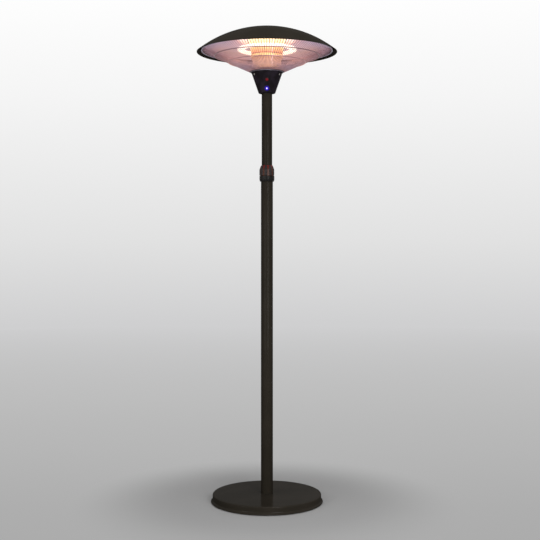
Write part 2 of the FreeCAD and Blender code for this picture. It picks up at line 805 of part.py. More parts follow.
def cable_gland():
    """The cord's gland: a tube through the boss, a hexagon and a tapered tip."""
    inner = GLAND_BOSS_DEPTH + GLAND_INNER_LENGTH
    nut_end = inner + GLAND_NUT_H
    tip_end = nut_end + GLAND_TIP_H
    body = spun([
        (0, 0),
        (GLAND_TUBE_D / 2, 0),
        (GLAND_TUBE_D / 2, nut_end),
        (GLAND_TIP_ROOT_D / 2, nut_end),
        (GLAND_TIP_D / 2, tip_end),
        (0, tip_end),
    ], PLUG_SIDES)
    nut = hexagon(GLAND_NUT_AF, point(0, inner), point(0, nut_end))
    bore = rod(GLAND_BORE_D / 2, point(0, -CUT_OVERRUN), point(0, tip_end + CUT_OVERRUN))
    gland = body.fuse(nut).cut(bore).removeSplitter()
    out = FreeCAD.Rotation(FreeCAD.Vector(0, 0, 1), FreeCAD.Vector(0, 1, 0))
    gland.Placement = FreeCAD.Placement(rear_point(gland_face_y() - inner, GLAND_Z), out)
    return gland


def rocker_pivot():
    """The centre of the rocker's pivot."""
    return rear_point(switch_face_y() + SWITCH_BEZEL_T - ROCKER_PIVOT_DEPTH, SWITCH_Z)


def pocket_sizes():
    """The width and height of the switch's pocket."""
    return (SWITCH_BODY_W - 2 * SWITCH_SIDE_WALL, SWITCH_BODY_H - 2 * SWITCH_SIDE_WALL)


def switch_body():
    """The switch's frame: a body in the pad, a bezel on its face and a pocket for the rocker."""
    face = switch_face_y()
    centre_z = HOUSING_Z + SWITCH_Z
    outer = face + SWITCH_BEZEL_T
    body_y = (face - SWITCH_BODY_DEPTH, face)
    body = box_between(about(0, SWITCH_BODY_W), body_y, about(centre_z, SWITCH_BODY_H))
    bezel_w = SWITCH_BODY_W + 2 * SWITCH_BEZEL_EDGE
    bezel_h = SWITCH_BODY_H + 2 * SWITCH_BEZEL_EDGE
    bezel = box_between(about(0, bezel_w), (face, outer), about(centre_z, bezel_h))
    width, height = pocket_sizes()
    pocket_y = (outer - SWITCH_POCKET_DEPTH, outer + CUT_OVERRUN)
    pocket = box_between(about(0, width), pocket_y, about(centre_z, height))
    return body.fuse(bezel).cut(pocket).cut(rocker_pin(RUNNING_FIT)).removeSplitter()


def rocker_pin(clearance):
    """The rocker's pivot pin, or with a clearance the holes that it turns in."""
    reach = pocket_sizes()[0] / 2 + ROCKER_PIN_REACH + clearance
    offset = FreeCAD.Vector(reach, 0, 0)
    pivot = rocker_pivot()
    radius = ROCKER_PIN_D / 2
    if clearance > 0:
        radius = clear_flats(radius + clearance, PLUG_SIDES)
    return plug(radius, pivot.sub(offset), pivot.add(offset))


def rocker_button():
    """The mains rocker, tilted to the side that is on."""
    width, height = pocket_sizes()
    half_w = width / 2 - ROCKER_SIDE_CLEARANCE
    half_h = height / 2 - ROCKER_END_CLEARANCE
    heel = half_h * ROCKER_HEEL_SHARE
    profile = [
        (-ROCKER_HEEL, -heel),
        (ROCKER_SKIRT, -half_h),
        (ROCKER_RISE, -half_h),
        (ROCKER_VALLEY, 0),
        (ROCKER_RISE, half_h),
        (ROCKER_SKIRT, half_h),
        (-ROCKER_HEEL, heel),
    ]
    pivot = rocker_pivot()
    corners = [pivot.add(FreeCAD.Vector(-half_w, out, up)) for out, up in profile]
    paddle = flat_face(corners).extrude(FreeCAD.Vector(2 * half_w, 0, 0))
    rocker = paddle.fuse(rocker_pin(0)).removeSplitter()
    rocker.rotate(pivot, FreeCAD.Vector(1, 0, 0), ROCKER_TILT_DEG)
    return rocker


# Head

def grille_base_hoop():
    """The metal hoop over the housing's rim, with a lip outside it where the guard's wires start."""
    inner = HOOP_R - HOOP_WALL
    lip_r = HOUSING_TOP_R + BODY_GAP
    lip_z = HOUSING_TOP_Z - HOOP_LIP_DROP
    return spun([
        (inner, HOUSING_TOP_Z),
        (lip_r, HOUSING_TOP_Z),
        (lip_r, lip_z),
        (HOOP_R, lip_z),
        (HOOP_R, HOOP_TOP_Z),
        (inner, HOOP_TOP_Z),
    ], HEAD_SIDES)


def column_lower():
    """The lower part of the polished column: a flared foot, a waist and a rolled top edge."""
    waist_z = HOOP_TOP_Z + COLUMN_LOWER_H * COLUMN_WAIST_SHARE
    fall = waist_z - HOOP_TOP_Z
    outer = []
    for index in range(COLUMN_CURVE_STEPS + 1):
        share = index / COLUMN_CURVE_STEPS
        radius = COLUMN_WAIST_R + (COLUMN_FOOT_R - COLUMN_WAIST_R) * (1 - share) ** 2
        outer.append((radius, HOOP_TOP_Z + fall * share))
    outer.append((COLUMN_BEAD_R - COLUMN_SHEET, COLUMN_JOINT_Z))
    corners = (outer[-1], outer[-2], outer[1], outer[0])
    inner = [(radius - COLUMN_SHEET, height) for radius, height in corners]
    return spun(outer + inner, HEAD_SIDES)


def column_upper():
    """The upper part of the polished column: a band, a widening cone and a flange for the reflector."""
    bead_z = COLUMN_JOINT_Z + COLUMN_BEAD_H
    under = COLUMN_TOP_Z - COLUMN_SHEET
    return spun([
        (COLUMN_BEAD_R - 2 * COLUMN_SHEET, COLUMN_JOINT_Z),
        (COLUMN_BEAD_R, COLUMN_JOINT_Z),
        (COLUMN_BEAD_R, bead_z),
        (COLUMN_TOP_R, COLUMN_TOP_Z),
        (COLUMN_TOP_R - COLUMN_FLANGE, COLUMN_TOP_Z),
        (COLUMN_TOP_R - COLUMN_FLANGE, under),
        (COLUMN_TOP_R - COLUMN_SHEET, under),
        (COLUMN_BEAD_R - COLUMN_SHEET, bead_z),
    ], HEAD_SIDES)


def dome_drop(radius):
    """How far the canopy's outside lies below its crown: an arc, then a straight skirt."""
    on_arc = min(radius, DOME_ARC_R)
    arc_drop = DOME_R - math.sqrt(DOME_R * DOME_R - on_arc * on_arc)
    return arc_drop + (radius - on_arc) * math.tan(DOME_EDGE)


CROWN_Z = RIM_Z + dome_drop(CANOPY_R)


def dome_points(inset):
    """The canopy's profile from the crown to the rim, inset square to the sheet."""
    end_deg = 90.0 - math.degrees(DOME_EDGE)
    centre = (0, CROWN_Z - DOME_R)
    arc = arc_points(centre, DOME_R - inset, 90.0, end_deg, DOME_STEPS)
    rim = (CANOPY_R - inset * math.sin(DOME_EDGE), RIM_Z - inset * math.cos(DOME_EDGE))
    return [(0, CROWN_Z - inset)] + arc[1:] + [rim]


def canopy_inside(radius):
    """The lowest height of the canopy's inside at a radius, in the middle of its flats."""
    reach = clear_flats(radius, SPUN_SIDES)
    profile = dome_points(CANOPY_SHEET)
    bands = list(zip(profile, profile[1:]))
    start, end = next((band for band in bands if reach <= band[1][0]), bands[-1])
    return start[1] + (end[1] - start[1]) * (reach - start[0]) / (end[0] - start[0])


COLUMN_TOP_Z = canopy_inside(COLUMN_TOP_R) - COLUMN_HEADROOM


def canopy():
    """The pressed dome over the lamp."""
    return spun(dome_points(0) + list(reversed(dome_points(CANOPY_SHEET))))


def canopy_bracket():
    """The plate under the canopy's crown that the stays carry."""
    radius = BRACKET_D / 2
    top = canopy_inside(radius) - BODY_GAP
    return spun([(0, top - BRACKET_T), (radius, top - BRACKET_T), (radius, top), (0, top)], SLEEVE_SIDES)


def column_stays():
    """The rods from the housing's top plate to the canopy's bracket, inside the column."""
    circle = STAY_CIRCLE_D / 2
    top = canopy_inside(BRACKET_D / 2) - BODY_GAP - BRACKET_T
    stay = prism(STAY_D / 2, STAY_SIDES, point(circle, HOUSING_TOP_Z), point(circle, top))
    return polar_copies(stay, STAY_COUNT, REAR_DEG)


def reflector_height(radius):
    """The underside of the reflector: a crown that falls away ever faster to its edge."""
    edge_r = CANOPY_R - REFLECTOR_EDGE_INSET
    edge_z = canopy_inside(edge_r) - BODY_GAP - REFLECTOR_SHEET
    inner_r = COLUMN_TOP_R - COLUMN_FLANGE
    share = (radius - inner_r) / (edge_r - inner_r)
    fall = (1 - REFLECTOR_CROWN_SHARE) * share + REFLECTOR_CROWN_SHARE * share * share
    return COLUMN_TOP_Z + (edge_z - COLUMN_TOP_Z) * fall


LAMP_Z = reflector_height(LAMP_R) - LAMP_BELOW_REFLECTOR


def reflector():
    """The polished dish between the column's top and the canopy's skirt."""
    seat_r = clear_flats(COLUMN_TOP_R + SEAT_GAP, SPUN_SIDES)
    edge_r = CANOPY_R - REFLECTOR_EDGE_INSET
    under = [(COLUMN_TOP_R - COLUMN_FLANGE, COLUMN_TOP_Z), (seat_r, COLUMN_TOP_Z)]
    for index in range(1, REFLECTOR_STEPS + 1):
        radius = seat_r + (edge_r - seat_r) * index / REFLECTOR_STEPS
        under.append((radius, reflector_height(radius)))
    over = [(radius, height + REFLECTOR_SHEET) for radius, height in reversed(under)]
    return spun(under + over)


# Wire guard

def ring_top():
    """The top of the guard's outer ring."""
    return canopy_inside(RING_OUTER_R) - RING_BELOW_CANOPY


def wire_axis_height(radius):
    """The height of the wires' centre lines at a radius: a straight cone from hoop to ring."""
    ring_r = RING_INNER_R * math.cos(math.pi / SPUN_SIDES)
    span = ring_r - WIRE_FOOT_R
    climb = ring_top() - HOUSING_TOP_Z
    lift = (WIRE_R + SEAT_GAP) * math.sqrt(1 + (climb / span) ** 2)
    return HOUSING_TOP_Z + (climb + lift) * (radius - WIRE_FOOT_R) / span


def grille_wires():
    """The guard's radial wires."""
    start = point(WIRE_FOOT_R, wire_axis_height(WIRE_FOOT_R))
    end = point(WIRE_TIP_R, wire_axis_height(WIRE_TIP_R))
    corner = clear_flats(WIRE_R, WIRE_SECTION_SIDES)
    return polar_copies(prism(corner, WIRE_SECTION_SIDES, start, end), WIRE_COUNT, FRONT_DEG)


def grille_outer_ring():
    """The flat ring that carries the wires' outer ends."""
    top = ring_top()
    bottom = top - RING_H
    corners = [(RING_INNER_R, bottom), (RING_OUTER_R, bottom), (RING_OUTER_R, top), (RING_INNER_R, top)]
    return spun(corners)


def grille_mid_rings():
    """The two thin rings welded under the wires."""
    rings = []
    for share in MID_RING_RADII_SHARES:
        radius = WIRE_FOOT_R + (WIRE_TIP_R - WIRE_FOOT_R) * share
        slope = (wire_axis_height(radius + MID_RING_W) - wire_axis_height(radius)) / MID_RING_W
        flat_sag = (radius + MID_RING_W) * (1 - math.cos(math.pi / SPUN_SIDES))
        drop = (WIRE_R + SEAT_GAP) * math.sqrt(1 + slope * slope) + flat_sag * slope
        inner_top = wire_axis_height(radius) - drop
        outer_top = wire_axis_height(radius + MID_RING_W) - drop
        rings.append(spun([
            (radius, inner_top - WIRE_D),
            (radius + MID_RING_W, outer_top - WIRE_D),
            (radius + MID_RING_W, outer_top),
            (radius, inner_top),
        ]))
    return Part.makeCompound(rings)


def grille_clips():
    """The small blocks between the outer ring and the canopy's skirt."""
    start = RING_OUTER_R - CLIP_LENGTH - WIRE_END_INSET
    end = RING_OUTER_R - WIRE_END_INSET
    top = canopy_inside(end) - BODY_GAP
    block = box_between((start, end), about(0, CLIP_W), (ring_top(), top))
    half_pitch = 180.0 / WIRE_COUNT
    return polar_copies(block, CLIP_COUNT, FRONT_DEG + half_pitch)


# Lamp

def ring_section(radius, corner_radius, sides):
    """The corners of a tube's polygon section at a radius from the axis."""
    corners = []
    for index in range(sides):
        angle = 2 * math.pi * (index + 0.5) / sides
        corners.append((radius + corner_radius * math.cos(angle), LAMP_Z + corner_radius * math.sin(angle)))
    return corners


def lamp_limits():
    """The angles between which the lamp runs round the column, open at the rear."""
    half = LAMP_GAP_DEG / 2
    return (REAR_DEG + half, REAR_DEG + 360.0 - half)


def lamp_rings(corner_radius, sides):
    """The inner and the outer ring of the lamp as solid rods with a given section."""
    start, end = lamp_limits()
    rings = []
    for radius in about(LAMP_R, LAMP_TUBE_SPACING):
        rings.append(sector(ring_section(radius, corner_radius, sides), start, end, LAMP_STEPS))
    return rings


def lamp_tube():
    """The two ring-shaped quartz tubes, one inside the other."""
    outsides = lamp_rings(LAMP_TUBE_D / 2, LAMP_SECTION_SIDES)
    bores = lamp_rings(LAMP_TUBE_D / 2 - LAMP_GLASS, LAMP_SECTION_SIDES)
    return Part.makeCompound([outside.cut(bore) for outside, bore in zip(outsides, bores)])


def lamp_filament():
    """The heating element along the middle of each tube."""
    return Part.makeCompound(lamp_rings(FILAMENT_D / 2, FILAMENT_SECTION_SIDES))


def lamp_holder():
    """The ceramic block that takes the ends of both tubes."""
    low, high = about(LAMP_R, HOLDER_W)
    bottom, top = about(LAMP_Z, HOLDER_H)
    half = LAMP_GAP_DEG / 2
    outline = [(low, bottom), (high, bottom), (high, top), (low, top)]
    return sector(outline, REAR_DEG - half, REAR_DEG + half, HOLDER_STEPS)


def column_radius(height):
    """The outer radius of the column's band or upper cone at a height."""
    bead_z = COLUMN_JOINT_Z + COLUMN_BEAD_H
    share = max(0, height - bead_z) / (COLUMN_TOP_Z - bead_z)
    return COLUMN_BEAD_R + (COLUMN_TOP_R - COLUMN_BEAD_R) * share


def lamp_arm():
    """The steel arm from the column to the ceramic holder."""
    bottom, top = about(LAMP_Z, LAMP_ARM_H)
    inner = column_radius(top) + SEAT_GAP
    outer = (LAMP_R - HOLDER_W / 2) * math.cos(math.radians(LAMP_GAP_DEG) / 2) - SEAT_GAP
    return box_between(about(0, LAMP_ARM_W), (inner, outer), (bottom, top))


def lamp_clips():
    """The supports from the reflector to the lamp, each a rod with a saddle across both tubes."""
    top = reflector_height(LAMP_R + LAMP_CLIP_D) - BODY_GAP
    glass_top = LAMP_Z + LAMP_TUBE_D / 2 + SEAT_GAP
    saddle_z = (glass_top, glass_top + LAMP_SADDLE_T)
    hanger = prism(LAMP_CLIP_D / 2, LAMP_CLIP_SIDES, point(LAMP_R, saddle_z[1]), point(LAMP_R, top))
    saddle = box_between(about(LAMP_R, LAMP_SADDLE_L), about(0, LAMP_SADDLE_W), saddle_z)
    return polar_copies(hanger.fuse(saddle).removeSplitter(), LAMP_CLIP_COUNT, FRONT_DEG + LAMP_CLIP_TURN_DEG)


PIECES = (
    base_cover,
    ballast_disc,
    rubber_feet,
    base_bolt,
    foot_plug,
    lower_pole,
    collar_base,
    clamp_collet,
    collar_nut,
    collar_grip,
    guide_bush,
    pole_end_plug,
    bush_retainer,
    upper_pole,
    neck_socket,
    housing,
    housing_top_plate,
    housing_screws,
    ir_window,
    led_lens,
    control_board,
    power_relay,
    ir_receiver,
    terminal_block,
    tilt_switch,
    cable_gland,
    switch_body,
    rocker_button,
    grille_base_hoop,
    column_lower,
    column_upper,
    column_stays,
    canopy_bracket,
    canopy,
    reflector,
    grille_wires,
    grille_outer_ring,
    grille_mid_rings,
    grille_clips,
    lamp_tube,
    lamp_filament,
    lamp_holder,
    lamp_arm,
    lamp_clips,
)

os.makedirs("parts", exist_ok=True)
for piece in PIECES:
    piece().exportStep(os.path.join("parts", piece.__name__ + ".step"))
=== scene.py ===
"""Looks of an electric patio heater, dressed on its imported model.

Everything is in metres in the model's own frame: +Z up, the pole on the Z axis, front towards -Y.
"""

from __future__ import annotations

import logging
import math
from dataclasses import dataclass
from enum import Enum
from typing import Any, Sequence

import bmesh
import bpy
from mathutils import Matrix, Vector

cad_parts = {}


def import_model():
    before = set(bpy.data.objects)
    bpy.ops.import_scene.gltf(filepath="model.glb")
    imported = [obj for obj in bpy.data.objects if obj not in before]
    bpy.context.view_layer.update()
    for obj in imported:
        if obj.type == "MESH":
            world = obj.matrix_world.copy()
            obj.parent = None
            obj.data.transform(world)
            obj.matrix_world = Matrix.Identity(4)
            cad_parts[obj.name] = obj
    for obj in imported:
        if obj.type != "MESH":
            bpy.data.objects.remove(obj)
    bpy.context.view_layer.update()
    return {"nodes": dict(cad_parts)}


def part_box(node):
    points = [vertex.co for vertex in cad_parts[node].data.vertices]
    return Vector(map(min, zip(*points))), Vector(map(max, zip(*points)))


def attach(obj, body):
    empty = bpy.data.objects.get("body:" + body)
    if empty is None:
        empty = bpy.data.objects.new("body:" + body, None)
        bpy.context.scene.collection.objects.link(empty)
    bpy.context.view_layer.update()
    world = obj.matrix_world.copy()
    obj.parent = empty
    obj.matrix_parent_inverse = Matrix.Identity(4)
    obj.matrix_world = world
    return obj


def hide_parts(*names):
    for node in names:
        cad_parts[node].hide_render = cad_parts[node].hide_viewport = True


LOG = logging.getLogger("patio_heater")
MM = 0.001
FULL_TURN = 2 * math.pi
QUARTER_TURN = math.pi / 2
FRONT = -QUARTER_TURN
REAR = QUARTER_TURN
FRONT_DEGREES = -90.0
CREASE_DEGREES = 32.0
ON_AXIS = 1e-7
NEVER_ZERO = 1e-6
SIDE_SHARE = 0.45
TIP_REACH_SHARE = 0.6
TIP_RADIUS_SHARE = 0.45
BEVEL_RUNS = 3

Colour = tuple[float, float, float]
Point = tuple[float, float, float]
Stops = tuple[tuple[float, Colour], ...]
Outline = list[tuple[float, float]]
Settings = dict[str, Any]
Inputs = dict[Any, Any]


class Body(Enum):
    """The bodies that the dressed pieces ride on."""

    STAND = "stand"
    COLLAR = "collar"
    HEAD = "mast_head"
    ROCKER = "rocker"


def srgb(red: int, green: int, blue: int) -> Colour:
    """Turns a display colour into a linear one.

    Args:
        red: Red from 0 to 255.
        green: Green from 0 to 255.
        blue: Blue from 0 to 255.

    Returns:
        The linear colour.
    """

    def linear(level: int) -> float:
        """One channel made linear."""
        share = level / 255
        return share / 12.92 if share <= 0.04045 else ((share + 0.055) / 1.055) ** 2.4

    return linear(red), linear(green), linear(blue)


# Shader graphs


class Value:
    """A socket that takes part in shader maths."""

    def __init__(self, graph: Graph, socket: bpy.types.NodeSocket) -> None:
        """Wraps a socket of a graph."""
        self.graph = graph
        self.socket = socket

    def _math(self, operation: str, other: Value | float = 0.0, swap: bool = False) -> Value:
        """Adds one Math node, with the operands swapped if asked."""
        first, second = (other, self) if swap else (self, other)
        return self.graph.value("Math", {"operation": operation}, {0: first, 1: second})

    def __add__(self, other: Value | float) -> Value:
        """Sum."""
        return self._math("ADD", other)

    def __sub__(self, other: Value | float) -> Value:
        """Difference."""
        return self._math("SUBTRACT", other)

    def __rsub__(self, other: float) -> Value:
        """Difference, reflected."""
        return self._math("SUBTRACT", other, True)

    def __mul__(self, other: Value | float) -> Value:
        """Product."""
        return self._math("MULTIPLY", other)

    def __truediv__(self, other: Value | float) -> Value:
        """Quotient."""
        return self._math("DIVIDE", other)

    def __pow__(self, other: float) -> Value:
        """Power."""
        return self._math("POWER", other)

    def root(self) -> Value:
        """Square root."""
        return self._math("SQRT")

    def either(self, other: Value) -> Value:
        """The greater of two values."""
        return self._math("MAXIMUM", other)

    def about(self, middle: float, swing: float) -> Value:
        """Noise about 0.5, moved to another level."""
        return (self - 0.5) * swing + middle

    def fade(self, low: float, high: float) -> Value:
        """Goes smoothly from 0 at one level to 1 at another."""
        settings = {"interpolation_type": "SMOOTHSTEP"}
        return self.graph.value("MapRange", settings, {0: self, 1: low, 2: high})


class Graph:
    """The node tree of one material or of the world."""

    def __init__(self, tree: bpy.types.NodeTree) -> None:
        """Takes over a tree and empties it."""
        self.tree = tree
        tree.nodes.clear()

    def node(
        self, kind: str, settings: Settings | None = None, inputs: Inputs | None = None
    ) -> bpy.types.Node:
        """Adds a node.

        Args:
            kind: The node's type without its common prefix.
            settings: Properties that are set first; "stops" fills a colour ramp.
            inputs: Values or links by socket name or number.

        Returns:
            The node.
        """
        node = self.tree.nodes.new("ShaderNode" + kind)
        for key, setting in (settings or {}).items():
            if key == "stops":
                self._fill_ramp(node.color_ramp, setting)
            else:
                setattr(node, key, setting)
        for key, source in (inputs or {}).items():
            self._feed(node.inputs[key], source)
        return node

    def value(
        self,
        kind: str,
        settings: Settings | None = None,
        inputs: Inputs | None = None,
        output: int | str = 0,
    ) -> Value:
        """Adds a node and wraps one of its outputs."""
        return Value(self, self.node(kind, settings, inputs).outputs[output])

    def _feed(self, socket: bpy.types.NodeSocket, source: Any) -> None:
        """Links a socket, or sets its own value.

        Args:
            socket: The socket.
            source: What goes into it.
        """
        if isinstance(source, Value):
            self.tree.links.new(source.socket, socket)
        elif isinstance(source, tuple) and socket.type == "RGBA":
            socket.default_value = (*source[:3], 1.0)
        else:
            socket.default_value = source

    @staticmethod
    def _fill_ramp(ramp: bpy.types.ColorRamp, stops: Stops) -> None:
        """Sets a ramp's stops in order.

        Args:
            ramp: The ramp.
            stops: Places and colours.
        """
        while len(ramp.elements) < len(stops):
            ramp.elements.new(1.0)
        for element, (place, colour) in zip(ramp.elements, stops):
            element.position = place
            element.color = (*colour, 1.0)

    def place(self) -> Value:
        """The point on the piece, in the frame's metres."""
        return self.value("TexCoord", output="Object")

    def parts(self, vector: Value) -> tuple[Value, Value, Value]:
        """The three parts of a vector."""
        node = self.node("SeparateXYZ", inputs={0: vector})
        return tuple(Value(self, output) for output in node.outputs)

    def radius(self) -> Value:
        """The distance from the pole's axis."""
        across, along, _ = self.parts(self.place())
        return (across * across + along * along).root()

    def height(self) -> Value:
        """The height above the floor."""
        return self.parts(self.place())[2]

    def away_from(self, point: Point) -> Value:
        """The distance from a point of the frame."""
        ends = {0: self.place(), 1: point}
        return self.value("VectorMath", {"operation": "DISTANCE"}, ends, "Value")

    def around(self, turn_scale: float, height_scale: float) -> Value:
        """A vector that follows the turn round the axis and the height.

        Args:
            turn_scale: Marks for each radian of turn.
            height_scale: Marks for each metre of height.

        Returns:
            The vector.
        """
        across, along, up = self.parts(self.place())
        size = (across * across + along * along).root() + NEVER_ZERO
        turn = {0: across / size * turn_scale, 1: along / size * turn_scale}
        return self.value("CombineXYZ", inputs={**turn, 2: up * height_scale})

    def noise(self, scale: float, detail: float = 2.0, vector: Value | None = None) -> Value:
        """Soft noise about 0.5, read at the point on the piece or at a vector."""
        where = vector if vector is not None else self.place()
        return self.value("TexNoise", inputs={"Vector": where, "Scale": scale, "Detail": detail})

    def blend(self, share: Value | float, first: Any, second: Any) -> Value:
        """Mixes two colours; the share is the second one's."""
        return self.value("Mix", {"data_type": "RGBA"}, {0: share, 6: first, 7: second}, 2)

    def tint(self, level: Value, stops: Stops) -> Value:
        """A colour ramp read at a level."""
        return self.value("ValToRGB", {"stops": stops}, {0: level})

    def rubbed(self, tinted: Value, marks: Value) -> Value:
        """A bright metal's tint, dulled along its marks."""
        dulled = self.blend(0.2, tinted, srgb(190, 150, 130))
        return self.blend(marks.fade(0.45, 0.8), tinted, dulled)

    def bump(self, level: Value, depth: float, strength: float) -> Value:
        """A normal from a height in metres of depth."""
        return self.value("Bump", inputs={"Height": level, "Distance": depth, "Strength": strength})

    def grain(self, scale: float, detail: float, depth: float, strength: float) -> Value:
        """A normal from fine noise with some grains in a metre."""
        return self.bump(self.noise(scale, detail), depth, strength)


# Finishes


class Finish:
    """A surface finish that can be put on pieces."""

    slot: str

    def inputs(self, graph: Graph) -> Inputs:
        """The shader's inputs, made in a graph."""
        raise NotImplementedError

    def material(self) -> bpy.types.Material:
        """The finish's material, made once.

        Returns:
            The material.
        """
        if self not in MADE:
            made = bpy.data.materials.new(f"{type(self).__name__}_{self.slot}")
            made.use_nodes = True
            graph = Graph(made.node_tree)
            shader = graph.value("BsdfPrincipled", inputs=self.inputs(graph))
            graph.node("OutputMaterial", inputs={"Surface": shader})
            MADE[self] = made
        return MADE[self]


MADE: dict[Finish, bpy.types.Material] = {}


@dataclass(frozen=True)
class StovedPaint(Finish):
    """Satin stoved enamel on sheet steel and tube, with a faint orange peel."""

    slot: str = "dark_paint"
    colour: Colour = srgb(33, 30, 25)
    worn: Colour = srgb(42, 38, 33)
    roughness: float = 0.42
    coat: float = 0.03

    def inputs(self, graph: Graph) -> Inputs:
        """Mottled colour, uneven gloss and a peel of about two millimetres.

        Args:
            graph: Where the nodes go.

        Returns:
            The shader's inputs.
        """
        cloud = graph.noise(7.0, 4.0)
        fleck = graph.noise(900.0, 1.0)
        share = cloud.fade(0.35, 0.75) * 0.6 + fleck.fade(0.55, 0.8) * 0.4
        return {
            "Base Color": graph.blend(share, self.colour, self.worn),
            "Roughness": cloud.about(self.roughness, 0.16),
            "Specular IOR Level": 0.0,
            "Coat Weight": self.coat,
            "Coat Roughness": 0.14,
            "Normal": graph.grain(420.0, 2.0, 0.00007, 0.5),
        }


@dataclass(frozen=True)
class MouldedPlastic(Finish):
    """Injection-moulded plastic with a fine spark-eroded grain."""

    slot: str
    colour: Colour
    light: Colour
    roughness: float = 0.35
    grain: float = 1500.0
    coat: float = 0.0

    def inputs(self, graph: Graph) -> Inputs:
        """Grain, flow marks and rubbed patches.

        Args:
            graph: Where the nodes go.

        Returns:
            The shader's inputs.
        """
        rub = graph.noise(38.0, 3.0)
        return {
            "Base Color": graph.blend(rub.fade(0.4, 0.75), self.colour, self.light),
            "Roughness": rub.about(self.roughness, 0.2),
            "Specular IOR Level": 0.05,
            "Coat Weight": self.coat,
            "Normal": graph.grain(self.grain, 2.0, 0.00004, 0.5),
        }


@dataclass(frozen=True)
class HousingShell(Finish):
    """The control housing's gloss shell, lit blue round its power light."""

    slot: str = "housing_plastic"
    colour: Colour = srgb(22, 19, 22)
    light: Colour = srgb(34, 29, 36)
    glow: Colour = srgb(52, 22, 200)
    light_at: Point = (0.0, -0.0418, 1.7595)

    def inputs(self, graph: Graph) -> Inputs:
        """A deep gloss with sink marks, and the power light's halo on the front.

        Args:
            graph: Where the nodes go.

        Returns:
            The shader's inputs.
        """
        halo = (1 - graph.away_from(self.light_at).fade(0.003, 0.016)) ** 2.0
        flow = graph.noise(30.0, 3.0)
        return {
            "Base Color": graph.blend(flow.fade(0.35, 0.7), self.colour, self.light),
            "Roughness": flow.about(0.24, 0.14),
            "Specular IOR Level": 0.0,
            "Coat Weight": 0.05,
            "Coat Roughness": 0.12,
            "Emission Color": graph.blend(halo, (0.0, 0.0, 0.0), self.glow),
            "Emission Strength": 1.0,
            "Normal": graph.grain(1100.0, 1.0, 0.00003, 0.4),
        }


@dataclass(frozen=True)
class SpunReflector(Finish):
    """The dish's spun aluminium, lit by the lamp that hangs under it."""

    slot: str = "polished_aluminium"
    inner: float = 0.05
    outer: float = 0.275
    # Painted light and reflection in the base colour: near white inside the lamp ring, mauve
    # further out.
    tints: Stops = (
        (0.0, srgb(250, 240, 226)),
        (0.30, srgb(250, 236, 222)),
        (0.36, srgb(176, 140, 146)),
        (0.55, srgb(158, 136, 146)),
        (1.0, srgb(158, 142, 158)),
    )
    front_glow: Stops = (
        (0.0, (0.50, 0.52, 0.54)),
        (0.20, (0.50, 0.52, 0.62)),
        (0.30, (0.50, 0.48, 0.54)),
        (0.34, (0.40, 0.24, 0.26)),
        (0.45, (0.33, 0.23, 0.30)),
        (0.62, (0.34, 0.27, 0.37)),
        (1.0, (0.40, 0.33, 0.44)),
    )
    rear_glow: Stops = (
        (0.0, (1.0, 0.62, 0.30)),
        (0.25, (0.90, 0.40, 0.22)),
        (0.40, (0.56, 0.39, 0.43)),
        (0.60, (0.56, 0.38, 0.40)),
        (0.80, (0.64, 0.36, 0.30)),
        (1.0, (0.56, 0.33, 0.36)),
    )

    def inputs(self, graph: Graph) -> Inputs:
        """Tints and glow of painted lamp light by radius, turning marks, and redder glow at the
        rear.

        Args:
            graph: Where the nodes go.

        Returns:
            The shader's inputs.
        """
        along = graph.parts(graph.place())[1]
        away = graph.radius()
        cloud = graph.noise(24.0, 3.0)
        level = (away - self.inner) / (self.outer - self.inner) + cloud.about(0.0, 0.1)
        marks = graph.noise(1.0, 2.0, graph.value("CombineXYZ", inputs={0: away * 900.0}))
        rear = (along + cloud.about(0.0, 0.08)).fade(-0.02, 0.11)
        front_lit = graph.tint(level, self.front_glow)
        rear_lit = graph.tint(level, self.rear_glow)
        return {
            "Base Color": graph.rubbed(graph.tint(level, self.tints), marks),
            "Metallic": 0.3,
            "Roughness": marks.about(0.3, 0.2),
            "Emission Color": graph.blend(rear, front_lit, rear_lit),
            "Emission Strength": 1.0,
            "Normal": graph.bump(marks, 0.00008, 0.4),
        }


